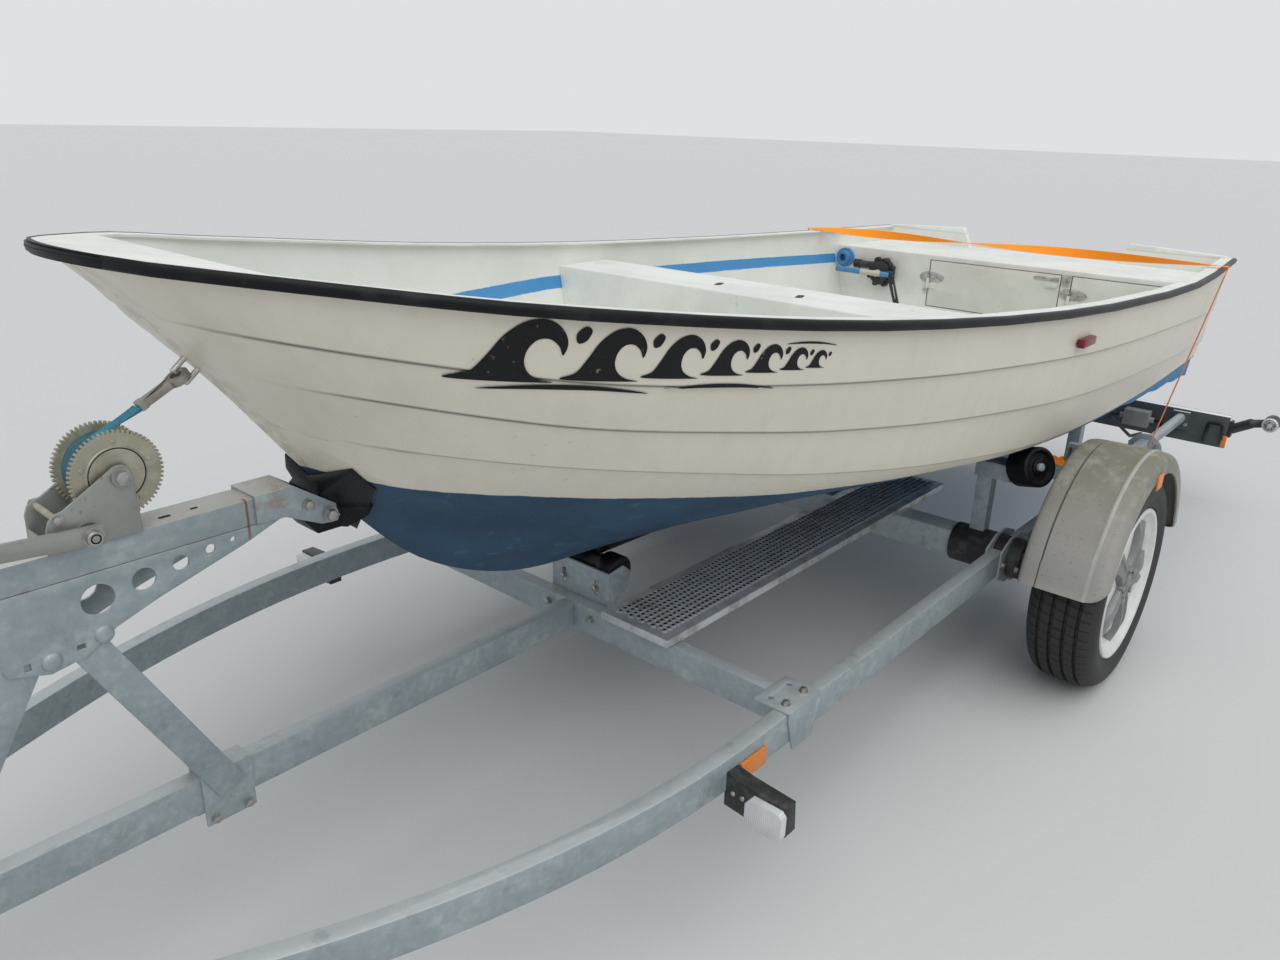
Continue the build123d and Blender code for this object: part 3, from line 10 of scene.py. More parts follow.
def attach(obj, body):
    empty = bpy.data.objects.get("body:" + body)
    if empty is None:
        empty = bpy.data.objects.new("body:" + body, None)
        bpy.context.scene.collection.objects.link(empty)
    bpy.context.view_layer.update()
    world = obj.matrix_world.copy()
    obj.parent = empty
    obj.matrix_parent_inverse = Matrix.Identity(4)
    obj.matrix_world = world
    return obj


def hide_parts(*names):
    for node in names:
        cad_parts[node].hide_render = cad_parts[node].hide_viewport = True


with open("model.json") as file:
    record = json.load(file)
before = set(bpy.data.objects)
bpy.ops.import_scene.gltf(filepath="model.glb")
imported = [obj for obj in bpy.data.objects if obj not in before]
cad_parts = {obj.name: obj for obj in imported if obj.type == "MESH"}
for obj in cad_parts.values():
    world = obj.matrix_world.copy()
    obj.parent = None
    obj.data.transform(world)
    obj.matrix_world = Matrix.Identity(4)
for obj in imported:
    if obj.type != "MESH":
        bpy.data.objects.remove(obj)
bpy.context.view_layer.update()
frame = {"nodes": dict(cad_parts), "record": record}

# The camera stands ahead of the port bow at chest height, with a wide lens, as the photograph was
# taken. Places along the boat are measured from the wheel axle, which is AXLE_LINE behind the origin.
AXLE_LINE = 0.695


def place(x, y, z):
    """A point given in millimetres from the wheel axle, in the scene's metres."""
    return Vector((x / 1000 - AXLE_LINE, y / 1000, z / 1000))


eye = place(2317, 1273, 1254)
heading, dip, lean = math.radians(220.52), math.radians(20.37), math.radians(1.65)
forward = Vector((math.cos(dip) * math.cos(heading), math.cos(dip) * math.sin(heading), -math.sin(dip)))
level = forward.cross(Vector((0, 0, 1))).normalized()
upward = level.cross(forward)
right = math.cos(lean) * level + math.sin(lean) * upward
top = math.cos(lean) * upward - math.sin(lean) * level
lens = bpy.data.cameras.new("camera")
PHOTO_WIDE, FOCAL_LONG = 1280, 977  # both in the photograph's pixels
lens.sensor_width = 36
lens.lens = FOCAL_LONG / PHOTO_WIDE * lens.sensor_width
camera = bpy.data.objects.new("camera", lens)
camera.matrix_world = Matrix((
    (right.x, top.x, -forward.x, eye.x),
    (right.y, top.y, -forward.y, eye.y),
    (right.z, top.z, -forward.z, eye.z),
    (0, 0, 0, 1),
))
bpy.context.collection.objects.link(camera)
bpy.context.scene.camera = camera
bpy.context.scene.view_settings.view_transform = "Standard"


# Pale floor and soft light like an overcast sky: one very wide sun high over the bow, and a pale
# surround that lights the shadows and gives the metal something to mirror.
class Signal:
    """A shader socket that sums can be written with."""

    def __init__(self, finish, socket):
        self.finish = finish
        self.socket = socket

    def sum_with(self, operation, *values):
        return self.finish.node("Math", {"operation": operation}, values)

    def __add__(self, other):
        return self.sum_with("ADD", self, other)

    __radd__ = __add__

    def __mul__(self, other):
        return self.sum_with("MULTIPLY", self, other)

    __rmul__ = __mul__

    def __sub__(self, other):
        return self.sum_with("SUBTRACT", self, other)

    def __rsub__(self, other):
        return self.sum_with("SUBTRACT", other, self)

    def __abs__(self):
        return self.sum_with("ABSOLUTE", self)

    def sine(self):
        return self.sum_with("SINE", self)

    def over(self, edge, soft=0.01):
        """0 below the edge and 1 above it, over a soft width."""
        return self.finish.node("MapRange", {"interpolation_type": "SMOOTHSTEP"},
                                {"Value": self, "From Min": edge - soft, "From Max": edge + soft})


class Finish:
    """One material and its nodes."""

    def __init__(self, name, colour, roughness=0.5, metallic=0.0):
        self.material = bpy.data.materials.new(name)
        self.material.use_nodes = True
        self.nodes = self.material.node_tree.nodes
        self.links = self.material.node_tree.links
        self.shader = self.nodes["Principled BSDF"]
        self.shader.inputs["Base Color"].default_value = (*colour, 1)
        self.shader.inputs["Roughness"].default_value = roughness
        self.shader.inputs["Metallic"].default_value = metallic

    def plug(self, socket, value):
        """Link a signal to a socket, or write a plain value there."""
        if isinstance(value, Signal):
            self.links.new(value.socket, socket)
        elif isinstance(value, tuple) and socket.type == "RGBA":
            socket.default_value = (*value, 1) if len(value) == 3 else value
        else:
            socket.default_value = value

    def node(self, kind, settings=None, values=(), out=0):
        """Add a node: its settings first, then its sockets by name or in order."""
        node = self.nodes.new("ShaderNode" + kind)
        for name, value in (settings or {}).items():
            if name == "stops":
                while len(node.color_ramp.elements) < len(value):
                    node.color_ramp.elements.new(0.5)
                for stop, (at, colour) in zip(node.color_ramp.elements, value):
                    stop.position = at
                    stop.color = (*colour, 1)
            else:
                setattr(node, name, value)
        named = values.items() if isinstance(values, dict) else enumerate(values)
        for name, value in named:
            self.plug(node.inputs[name], value)
        return Signal(self, node.outputs[out])

    def where(self):
        """Object coordinates."""
        return self.node("TexCoord", out="Object")

    def parts_of(self, vector):
        """The x, y and z of a vector."""
        made = self.node("SeparateXYZ", None, [vector])
        return [Signal(self, made.socket.node.outputs[k]) for k in range(3)]

    def spot(self):
        """The x, y and z of the place on the object."""
        return self.parts_of(self.where())

    def facing(self):
        """The x, y and z of the way that the surface faces."""
        return self.parts_of(self.node("NewGeometry", out="True Normal"))

    def noise(self, scale, detail=3.0, rough=0.5, stretch=(1, 1, 1)):
        """Cloudy noise from 0 to 1, stretched along an axis where asked."""
        spot = self.node("Mapping", None, {"Vector": self.where(), "Scale": stretch})
        return self.node("TexNoise", None, {"Vector": spot, "Scale": scale, "Detail": detail,
                                            "Roughness": rough})

    def mix(self, share, first, second):
        """Blend two colours by a share."""
        node = self.nodes.new("ShaderNodeMix")
        node.data_type = "RGBA"
        for index, value in ((0, share), (6, first), (7, second)):
            self.plug(node.inputs[index], value)
        return Signal(self, node.outputs[2])

    def set(self, **sockets):
        """Feed sockets of the shader, with spaces written as underlines."""
        for name, value in sockets.items():
            self.plug(self.shader.inputs[name.replace("_", " ")], value)
        return self

    def bump(self, height, strength=0.2, distance=0.001):
        """Raise the surface by a height signal."""
        normal = self.node("Bump", None, {"Height": height, "Strength": strength, "Distance": distance})
        self.plug(self.shader.inputs["Normal"], normal)
        return self


floor_size = 60
floor_mesh = bpy.data.meshes.new("floor")
floor_mesh.from_pydata([(-floor_size, -floor_size, 0), (floor_size, -floor_size, 0),
                        (floor_size, floor_size, 0), (-floor_size, floor_size, 0)], [], [(0, 1, 2, 3)])
floor = bpy.data.objects.new("floor", floor_mesh)
bpy.context.collection.objects.link(floor)
floor_mesh.materials.append(Finish("floor", (0.66, 0.66, 0.65), 0.9).material)

world = bpy.data.worlds.new("surround")
bpy.context.scene.world = world
world.use_nodes = True
surround, wires = world.node_tree.nodes, world.node_tree.links
daylight = surround["Background"]
daylight.inputs["Color"].default_value = (0.9, 0.95, 1.0, 1)
daylight.inputs["Strength"].default_value = 0.46
backdrop = surround.new("ShaderNodeBackground")
backdrop.inputs["Color"].default_value = (0.74, 0.76, 0.78, 1)
rays = surround.new("ShaderNodeLightPath")
choice = surround.new("ShaderNodeMixShader")
seen = rays.outputs["Is Camera Ray"]
for ray in ("Is Glossy Ray", "Is Transmission Ray"):
    either = surround.new("ShaderNodeMath")
    either.operation = "MAXIMUM"
    wires.new(seen, either.inputs[0])
    wires.new(rays.outputs[ray], either.inputs[1])
    seen = either.outputs[0]
for k, source in enumerate((seen, daylight.outputs[0], backdrop.outputs[0])):
    wires.new(source, choice.inputs[k])
wires.new(choice.outputs[0], surround["World Output"].inputs["Surface"])
sun = bpy.data.lights.new("sun", "SUN")
sun.energy = 1.7
sun.angle = math.radians(75)
sun_lamp = bpy.data.objects.new("sun", sun)
sun_lamp.rotation_euler = Vector((-0.32, -0.42, -1)).to_track_quat("-Z", "Y").to_euler()
bpy.context.collection.objects.link(sun_lamp)


# Hull: glass-fibre shell moulded with three false plank laps, white above the water and blue
# antifouling below, worn and streaked outside, with painted shadow under each lap; the inside is a duller
# white with a blue band.
body_of = {node: body for body, nodes in frame["record"]["behaviour"]["bodies"].items() for node in nodes}
slot_of = {row["node"]: row["material_slot"] for row in frame["record"]["subparts"]}


def merged(node, flat=True):
    """A CAD piece as one welded mesh, its flat faces whole."""
    work = bmesh.new()
    work.from_mesh(frame["nodes"][node].data)
    bmesh.ops.remove_doubles(work, verts=work.verts, dist=0.00003)
    if flat:
        bmesh.ops.dissolve_limit(work, angle_limit=math.radians(0.5), verts=work.verts, edges=work.edges)
    return work


def finished(name, work, finishes, rounding=0.0, smooth=35):
    """Turn the working mesh into a plain one, its edges rounded by so many millimetres."""
    mesh = bpy.data.meshes.new(name)
    work.to_mesh(mesh)
    work.free()
    if "custom_normal" in mesh.attributes:
        mesh.attributes.remove(mesh.attributes["custom_normal"])
    for finish in finishes:
        mesh.materials.append(finish.material)
    if rounding:
        rough = bpy.data.objects.new(name + "_rough", mesh)
        bpy.context.collection.objects.link(rough)
        edge = rough.modifiers.new("rounding", "BEVEL")
        edge.width = rounding / 1000
        edge.segments = 2
        edge.limit_method = "ANGLE"
        edge.angle_limit = math.radians(38)
        mesh = bpy.data.meshes.new_from_object(rough.evaluated_get(bpy.context.evaluated_depsgraph_get()))
        bpy.data.objects.remove(rough)
    return shaded(mesh, smooth)


def shaded(mesh, smooth):
    """Shade a mesh smooth, apart from its edges sharper than an angle in degrees."""
    for face in mesh.polygons:
        face.use_smooth = True
    mesh.set_sharp_from_angle(angle=math.radians(smooth))
    return mesh


def fit_mesh(name, mesh, nodes=(), body="boat_and_trailer"):
    """Put a finished piece on its body, in place of the CAD pieces that it stands for."""
    piece = bpy.data.objects.new(name, mesh)
    bpy.context.collection.objects.link(piece)
    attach(piece, body)
    if nodes:
        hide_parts(*nodes)


def fit(name, work, finishes, slot, *nodes, rounding=0.0, smooth=35, body="boat_and_trailer"):
    """Finish a working mesh, whose face numbers choose among the finishes, and put it on its body."""
    fit_mesh(name, finished(name, work, finishes, rounding, smooth), nodes, body)


def dress(node, finish, rounding=0.0, smooth=35):
    """A welded copy of a CAD piece with rounded edges and its finish."""
    fit(node + "_worked", merged(node), [finish], slot_of[node], node,
        rounding=rounding, smooth=smooth, body=body_of[node])


def height_at(finish, share, rows):
    """A height in metres that changes along the boat, from (share, height) pairs."""
    return finish.node("ValToRGB", {"stops": [(at, (height,) * 3) for at, height in rows]}, [share])


STERN_X, STEM_X, BOAT_LONG = -1395, 1880, 3295
paint = Finish("hull_paint", (0.76, 0.71, 0.6), 0.36)
ahead, aside, above = paint.spot()
# Height of the top of the antifouling, in metres, at shares of the length from the transom to the bow
WATERLINE = [(0.0, 0.545), (0.12, 0.538), (0.24, 0.553), (0.455, 0.573), (0.484, 0.58), (0.606, 0.6155),
             (0.717, 0.6565), (0.788, 0.6925), (0.85, 0.7265), (0.895, 0.7485), (1.0, 0.79)]
share = (ahead + (AXLE_LINE - STERN_X / 1000)) * (1000 / BOAT_LONG)
line = height_at(paint, share, WATERLINE)
wobble = paint.noise(60, 2) * 0.0024
blue = 1 - (above - line + wobble).over(0.0012, 0.0011)
cloud = paint.noise(2.6, 5, 0.6)
streak = paint.noise(3, 4, 0.65, (9, 9, 0.9))
speck = paint.noise(55, 4, 0.6)
grime = (streak * 0.6 + cloud * 0.4).over(0.56, 0.2)
white = paint.mix(grime * 0.3, (0.76, 0.715, 0.61), (0.56, 0.52, 0.42))
white = paint.mix((speck * 0.7 + cloud * 0.3).over(0.66, 0.035) * 0.35, white, (0.36, 0.33, 0.27))
stem = (1 - abs(aside).over(0.035, 0.03)) * ahead.over(0.72, 0.1)
scar = stem * paint.noise(38, 4, 0.6, (1, 1, 0.6)).over(0.52, 0.05)
white = paint.mix(scar * 0.3, white, (0.2, 0.18, 0.15))
# A thin dark line along each lap step is painted shadow, read from the mesh's lap attribute
lap_shadow = paint.node("Attribute", {"attribute_name": "lap"}, out="Fac")
white = paint.mix(lap_shadow * 0.86, white, (0.085, 0.075, 0.055))
foul = paint.noise(7, 5, 0.65, (1, 1, 0.5))
stern = 1 - share.over(0.36, 0.22)
deep = paint.mix(foul.over(0.5, 0.18), (0.009, 0.047, 0.1), (0.015, 0.075, 0.15))
deep = paint.mix(stern * 0.85, deep, (0.055, 0.245, 0.5))
deep = paint.mix(paint.noise(22, 4, 0.6).over(0.66, 0.06) * 0.3, deep, (0.16, 0.24, 0.28))
paint.set(Base_Color=paint.mix(blue, white, deep), Roughness=0.3 + cloud * 0.16 + blue * 0.28)
paint.bump(cloud * 1.5 + speck * (0.15 + blue * 0.8), 0.25, 0.0016)

lining = Finish("hull_inside", (0.86, 0.88, 0.82), 0.5)
ahead, _, above = lining.spot()
# Height of the middle of the blue band, in metres, at shares of its length from the locker forward
BAND = [(0.0, 0.778), (0.087, 0.782), (0.623, 0.813), (1.0, 0.836)]
BAND_X, BAND_LONG, BAND_END = -1000, 1500, 0.5
share = (ahead + (AXLE_LINE - BAND_X / 1000)) * (1000 / BAND_LONG)
off = abs(above - height_at(lining, share, BAND) + lining.noise(40, 2) * 0.003)
steep = 1 - abs(lining.facing()[0]).over(0.5, 0.1)
band = (1 - off.over(0.0165, 0.0012)) * ahead.over(BAND_X / 1000 - AXLE_LINE, 0.002)
band = band * (1 - ahead.over(BAND_END, 0.004)) * steep
stain = lining.noise(4, 5, 0.65)
low = 1 - above.over(0.62, 0.14)
worn = lining.mix(stain.over(0.52, 0.14) * 0.3, (0.87, 0.885, 0.83), (0.66, 0.68, 0.6))
worn = lining.mix(low * stain * 0.7, worn, (0.3, 0.31, 0.26))
sky_blue = lining.mix(stain, (0.05, 0.28, 0.62), (0.1, 0.36, 0.7))
lining.set(Base_Color=lining.mix(band, worn, sky_blue), Roughness=0.42 + stain * 0.2)
lining.bump(lining.noise(25, 3), 0.3, 0.0012)

# The CAD shell's inner faces stay as the lining. Faces that look aft are outer ones at the transom only.
TRANSOM_ZONE = 95
work = merged("hull_shell", flat=False)
for face in work.faces:
    spot, way = face.calc_center_median(), face.normal
    side = 1 if spot.y > 0 else -1
    aft_face = way.x < -0.7 and spot.x < place(STERN_X + TRANSOM_ZONE, 0, 0).x
    face.material_index = 0 if way.y * side > 0.05 or way.z < -0.3 or aft_face else 1
skin = [face for face in work.faces if face.material_index == 0 and abs(face.normal.x) < 0.98]
bmesh.ops.delete(work, geom=skin, context="FACES")

# The outer skin is drawn again with fair curves: x of the line, height of the keel, (half breadth,
# height) of the chine, three planks and the top. The laps run straight on into the stem and fade.
HULL_LINES = [
    (-1395, 401, (544, 473), (556, 540), (570, 595), (583, 702), (605, 872)),
    (-600, 400, (570, 527), (585, 556), (634, 664), (664, 776), (676, 883)),
    (100, 401, (570, 571), (592, 593), (637, 704), (661, 808), (673, 909)),
    (600, 405, (524, 615), (560, 651), (594, 748), (621, 844), (636, 940)),
    (965, 412, (452, 656), (495, 705), (533, 790), (567, 877), (584, 972)),
    (1200, 441, (372, 692), (423, 748), (468, 824), (508, 902), (532, 998)),
    (1400, 534, (285, 726), (345, 787), (397, 857), (440, 927), (469, 1023)),
    (1550, 682, (165, 748), (250, 819), (320, 891), (368, 956), (404, 1043)),
    (1700, 873, (55, 888), (115, 905), (178, 925), (262, 991), (312, 1066)),
    (1850, 1050, (25, 1052), (50, 1055), (78, 1059), (110, 1067), (145, 1086)),
    (1880, 1077, (18, 1078), (34, 1080), (52, 1083), (70, 1086), (91, 1091)),
]
# x of the line, then height of the low, middle and high lap; where each lap ends at the stem; its step
LAP_LINES = [(-1395, 540, 595, 702), (-600, 556, 664, 776), (100, 593, 704, 808), (600, 651, 748, 844),
             (965, 705, 790, 877), (1200, 748, 824, 902), (1400, 787, 857, 927), (1550, 818, 891, 955),
             (1700, 842, 925, 987), (1880, 868, 957, 1024)]
LAP_ENDS = (1625, 1712, 1812)
LAP_STEP = 6


def faired(x, rows, pick):
    """Smooth curve through one value of each row, whose first entry is x."""
    last = len(rows) - 1
    i = max(k for k in range(last) if rows[k][0] <= x)
    run = rows[i + 1][0] - rows[i][0]
    t = (x - rows[i][0]) / run
    low, high = pick(rows[i]), pick(rows[i + 1])
    slopes = []
    for k in (i, i + 1):
        aft, fore = rows[max(k - 1, 0)], rows[min(k + 1, last)]
        slopes.append((pick(fore) - pick(aft)) / (fore[0] - aft[0]))
    return ((2 * t**3 - 3 * t**2 + 1) * low + (t**3 - 2 * t**2 + t) * run * slopes[0]
            + (3 * t**2 - 2 * t**3) * high + (t**3 - t**2) * run * slopes[1])


def through(a, b, c, d, t):
    """A value at share t of the smooth curve from b to c, between its neighbours a and d."""
    return 0.5 * (2 * b + (c - a) * t + (2 * a - 5 * b + 4 * c - d) * t**2 + (3 * b - a - 3 * c + d) * t**3)


def side_curve(x):
    """Port half of the section at x as close (half breadth, height) points, from the keel up."""
    knots = [tuple(faired(x, HULL_LINES, lambda row: row[k][n]) for n in (0, 1)) for k in range(2, 7)]
    first = [2 * knots[0][n] - knots[1][n] for n in (0, 1)]
    last = [2 * knots[-1][n] - knots[-2][n] for n in (0, 1)]
    ends = [first] + knots + [last]
    curve = [(0, faired(x, HULL_LINES, lambda row: row[1]))]
    for a, b, c, d in zip(ends, ends[1:], ends[2:], ends[3:]):
        curve += [tuple(through(a[n], b[n], c[n], d[n], j / 12) for n in (0, 1)) for j in range(12)]
    return curve + [knots[-1]]


def breadth(curve, z):
    """Half breadth of a section at a height."""
    for (y0, z0), (y1, z1) in zip(curve, curve[1:]):
        if z <= z1:
            return y0 + (y1 - y0) * max(0.0, z - z0) / max(z1 - z0, 0.001)
    return curve[-1][0]


def skin_row(x):
    """Points of the port side at x from the keel up, each with how much painted shadow the laps put on it."""
    curve = side_curve(x)
    keel, top = curve[0][1], curve[-1][1]
    laps = []
    for k, end in enumerate(LAP_ENDS):
        fade = max(0.0, min(1.0, (end - x) / 70))
        laps.append((max(faired(x, LAP_LINES, lambda row: row[k + 1]), keel + 2 * k + 2), fade))
    chine = min(curve[1][1], (keel + laps[0][0]) / 2)
    chine_fade = max(0.0, min(1.0, (1500 - x) / 300))
    row = [(breadth(curve, chine) * k / 5, keel + (chine - keel) * k / 5, 0.0) for k in range(6)]
    levels = [(chine, chine_fade)] + laps + [(top, 0.0)]
    for (low, fade), (high, above_fade) in zip(levels, levels[1:]):
        span = high - low
        shares = [0.0, min(0.3, 2.6 / span), 0.2, 0.4, 0.6, 0.8,
                  max(0.7, 1 - 4.5 / span), max(0.8, 1 - 1.2 / span), 1.0]
        for share, dirt_and_shade in zip(shares, (0.8 * fade, 0, 0, 0, 0, 0, 0, above_fade, above_fade)):
            z = low + span * share
            half = breadth(curve, z) + LAP_STEP * fade * (1 - share)
            row.append((half, z, dirt_and_shade if low > chine or dirt_and_shade < 0.7 else 0))
    return row


def cut(work, spot, way, faces=None):
    """Cut a mesh, or only some of its faces, by the plane through a spot that faces a way."""
    geom = work.verts[:] + work.edges[:] + work.faces[:]
    if faces is not None:
        edges = {edge for face in faces for edge in face.edges}
        corners = {corner for face in faces for corner in face.verts}
        geom = list(corners) + list(edges) + faces
    bmesh.ops.bisect_plane(work, geom=geom, plane_co=spot, plane_no=way)


# The lining in the bow is cut finely and kept LINING_GAP millimetres inside the new skin
LINING_GAP, RIM, BOW_X, SPACING = 7, 9, 1000, 25
for way, first, count in (((1, 0, 0), place(BOW_X + SPACING, 0, 0), 34), ((0, 0, 1), place(0, 0, 560), 20)):
    for k in range(count):
        fore_part = [face for face in work.faces if face.calc_center_median().x > place(BOW_X, 0, 0).x]
        cut(work, first + Vector(way) * (SPACING / 1000 * k), way, fore_part)
for corner in work.verts:
    x = min(STEM_X - 1.0, (corner.co.x + AXLE_LINE) * 1000)
    curve = side_curve(x) if x > BOW_X else None
    if curve and corner.co.z * 1000 < curve[-1][1] - RIM:
        z = max(corner.co.z * 1000, curve[0][1] + LINING_GAP)
        room = max(0.0, breadth(curve, z) - LINING_GAP) / 1000
        corner.co.y = max(-room, min(room, corner.co.y))
        corner.co.z = z / 1000
# Each corner of the new skin holds how much painted lap shadow darkens it
lap_shadow_layer = work.verts.layers.float.new("lap")
for side in (1, -1):
    before = []
    for x in range(STERN_X, STEM_X + 1, SPACING):
        row = []
        for y, z, dirt_and_shade in skin_row(x):
            corner = work.verts.new(place(x, side * y, z))
            corner[lap_shadow_layer] = dirt_and_shade
            row.append(corner)
        for j in range(len(before) - 1):
            loop = (before[j], before[j + 1], row[j + 1], row[j])
            work.faces.new(loop if side > 0 else loop[::-1])
        before = row
work.normal_update()
hull_tree = BVHTree.FromBMesh(work)
fit("hull_painted", work, [paint, lining], "hull_white", "hull_shell", smooth=28)


# Gunwale: a white moulded flange along the top of each side and round the bow, a small knee in
# the bow and the raised corners of the transom, all in the hull's own gelcoat.
def mottled(name, plain, rough, metallic=0.0, *, noise, colours, gloss, lumps, edge=None, grain=None):
    """A finish that drifts between two colours by cloudy noise, with its roughness and height.

    gloss is the least roughness and how much the noise adds. lumps are a bump's strength and distance.
    edge, where given, is the noise's middle, softness and share; grain is a finer noise for the bump.
    """
    finish = Finish(name, plain, rough, metallic)
    cloud = finish.noise(*noise)
    share = cloud.over(edge[0], edge[1]) * edge[2] if edge else cloud
    finish.set(Base_Color=finish.mix(share, *colours), Roughness=gloss[0] + cloud * gloss[1])
    return finish.bump(finish.noise(*grain) if grain else cloud, *lumps)


trim = mottled("gunwale_white", (0.87, 0.87, 0.82), 0.4, noise=(9, 5, 0.65), edge=(0.55, 0.12, 0.35),
               colours=((0.87, 0.87, 0.82), (0.58, 0.58, 0.52)), gloss=(0.34, 0.25),
               lumps=(0.25, 0.0008), grain=(45, 3))
dress("gunwale_flange", trim, 0, 40)
dress("breasthook", trim, 1.2)
dress("transom_wings", trim, 2.5)

# A black rubber strip of D section is pushed over the flange's edge, dusty and a little shiny, and a
# flat dark strip guards the keel.
rubber = Finish("black_rubber", (0.008, 0.008, 0.009), 0.4)
dust = rubber.noise(14, 5, 0.65)
quarter = 1 - rubber.spot()[0].over(-1.62, 0.25)
soil = dust.over(0.58, 0.1) * 0.13 + quarter * dust.over(0.5, 0.12) * 0.3
rubber.set(Base_Color=rubber.mix(soil, (0.005, 0.005, 0.006), (0.1, 0.105, 0.12)),
           Roughness=0.3 + dust * 0.25, Specular_IOR_Level=0.22)
rubber.bump(rubber.noise(120, 3), 0.2, 0.0004)
work = merged("gunwale_rubber")
STRIP_DROP = 3.5
for corner in work.verts:
    corner.co.z -= STRIP_DROP / 1000
fit("gunwale_strip", work, [rubber], "black_rubber", "gunwale_rubber", smooth=60)
dress("keel_strip", rubber, 1.5)

# Bow eye and side markers: a stainless U-bolt through the stem, and a red lens on each quarter.
# The lenses are ribbed plastic, fixed to the top plank.
steel = mottled("polished_steel", (0.6, 0.59, 0.57), 0.24, 1.0, noise=(70, 4, 0.6), edge=(0.5, 0.2, 1),
                colours=((0.62, 0.61, 0.59), (0.38, 0.36, 0.32)), gloss=(0.2, 0.25), lumps=(0.1, 0.0003))
dress("bow_eye", steel, 0)
red = Finish("red_lens", (0.42, 0.015, 0.012), 0.16)
rib = red.node("TexWave", {"wave_type": "BANDS", "bands_direction": "X"},
               {"Vector": red.where(), "Scale": 60.0})
red.set(Base_Color=red.mix(rib * 0.45, (0.24, 0.008, 0.014), (0.06, 0.003, 0.006)),
        Roughness=0.14 + red.noise(60, 3) * 0.2)
red.bump(rib, 0.35, 0.0008)
dress("side_markers", red, 3)


# Black vinyl design on the port bow: a row of rolling waves that shrink aft, over a thin stripe.
# It is cut from sheet and stuck to the planks, so it follows the lap edges.
def sheer(x):
    """Height of the gunwale near the bow, in millimetres."""
    return 972 + 0.122 * (x - 965)


def smooth_loop(points, parts=6):
    """A closed outline with soft corners through some points."""
    loop = []
    for k in range(len(points)):
        a, b, c, d = (Vector(points[(k + j) % len(points)]) for j in (-1, 0, 1, 2))
        loop += [through(a, b, c, d, j / parts) for j in range(parts)]
    return loop


WAVE = [(0.0, -0.5), (0.2, -0.36), (0.36, -0.08), (0.52, 0.22), (0.76, 0.44), (1.04, 0.5), (1.28, 0.38),
        (1.4, 0.16), (1.36, -0.04), (1.28, 0.1), (1.14, 0.2), (0.98, 0.18), (0.87, 0.04), (0.85, -0.16),
        (0.94, -0.34), (1.12, -0.45), (1.3, -0.5)]
DROP = [(1.5, 0.3), (1.62, 0.42), (1.72, 0.36), (1.66, 0.2), (1.54, 0.16)]
STREAMER = [(0.0, 0.02), (1.0, 0.3), (2.2, 0.32), (3.4, 0.02), (2.2, 0.12), (1.0, 0.1)]
WAVE_LOW, WAVE_PITCH = -57, 1.42
outlines = []
run = 1592
for size in (84, 72, 61, 51, 42, 34, 27):
    for shape in (WAVE, DROP):
        outlines.append([(run - s * size, sheer(run - s * size) + WAVE_LOW + t * size)
                         for s, t in smooth_loop(shape)])
    run -= size * WAVE_PITCH
for first, low, size in ((1560, -112, 62), (1330, -104, 54), (1150, -36, 30)):
    outlines.append([(first - s * size, sheer(first - s * size) + low + t * size * 0.5)
                     for s, t in smooth_loop(STREAMER)])
work = bmesh.new()
for outline in outlines:
    work.faces.new([work.verts.new(place(x, 900, z)) for x, z in outline])
# The sheet is cut every 4 mm, so that it can lie on the planks, and stands off them by its own thickness
for k in range(160):
    cut(work, place(1620 - 4 * k, 0, 0), (1, 0, 0))
for k in range(52):
    cut(work, place(0, 0, 850 + 4 * k), (0, 0, 1))
VINYL_THICK, LAP_REACH = 0.0006, 0.0035
for corner in work.verts:
    hits = []
    for lift in (0.0, LAP_REACH):
        spot = hull_tree.ray_cast(Vector((corner.co.x, 1.2, corner.co.z + lift)), Vector((0, -1, 0)))[0]
        hits += [spot.y] if spot else []
    corner.co.y = max(hits) + VINYL_THICK
for face in work.faces:
    face.normal_update()
    if face.normal.y < 0:
        face.normal_flip()
vinyl = mottled("black_vinyl", (0.006, 0.006, 0.007), 0.4, noise=(90, 4, 0.65), edge=(0.7, 0.03, 0.5),
                colours=((0.006, 0.006, 0.007), (0.3, 0.29, 0.27)), gloss=(0.34, 0.2), lumps=(0.1, 0.0003))
vinyl.set(Specular_IOR_Level=0.25)
fit("bow_waves", work, [vinyl], "black_plastic", smooth=50)


# Fittings inside: a moulded box thwart with two finger slots, and an aft locker with two hinged doors,
# in the same worn gelcoat as the lining; the finger slots are painted near black as shade.
def worn_white(name, tint):
    """Duller gelcoat of a moulding that is trodden on."""
    finish = Finish(name, tint, 0.5)
    stain, fine = finish.noise(5, 5, 0.65), finish.noise(38, 4, 0.6)
    dark = tuple(part * 0.66 for part in tint)
    colour = finish.mix(stain.over(0.52, 0.15) * 0.35, tint, dark)
    colour = finish.mix((fine * 0.75 + stain * 0.25).over(0.66, 0.04) * 0.3, colour, (0.25, 0.25, 0.2))
    finish.set(Base_Color=colour, Roughness=0.36 + stain * 0.3)
    return finish.bump(fine + stain * 2, 0.22, 0.0009)


moulding = worn_white("inner_moulding", (0.87, 0.88, 0.83))
# The finger slots are painted near black: painted shade in the recesses
shadowed = worn_white("finger_slot_shade", (0.16, 0.155, 0.13))
work = merged("thwart_box")
SLOT_X, SLOT_REACH, SLOT_HEIGHTS = 350, 0.03, (0.85, 0.8735)
for face in work.faces:
    spot = face.calc_center_median()
    if abs(spot.x - place(SLOT_X, 0, 0).x) < SLOT_REACH and SLOT_HEIGHTS[0] < spot.z < SLOT_HEIGHTS[1]:
        face.material_index = 1
fit("thwart_moulded", work, [moulding, shadowed], "interior_white", "thwart_box", rounding=3)
dress("aft_locker", moulding, 1.6)
doors = worn_white("door_panel", (0.82, 0.825, 0.75))
dress("locker_hinges", steel, 0.5)


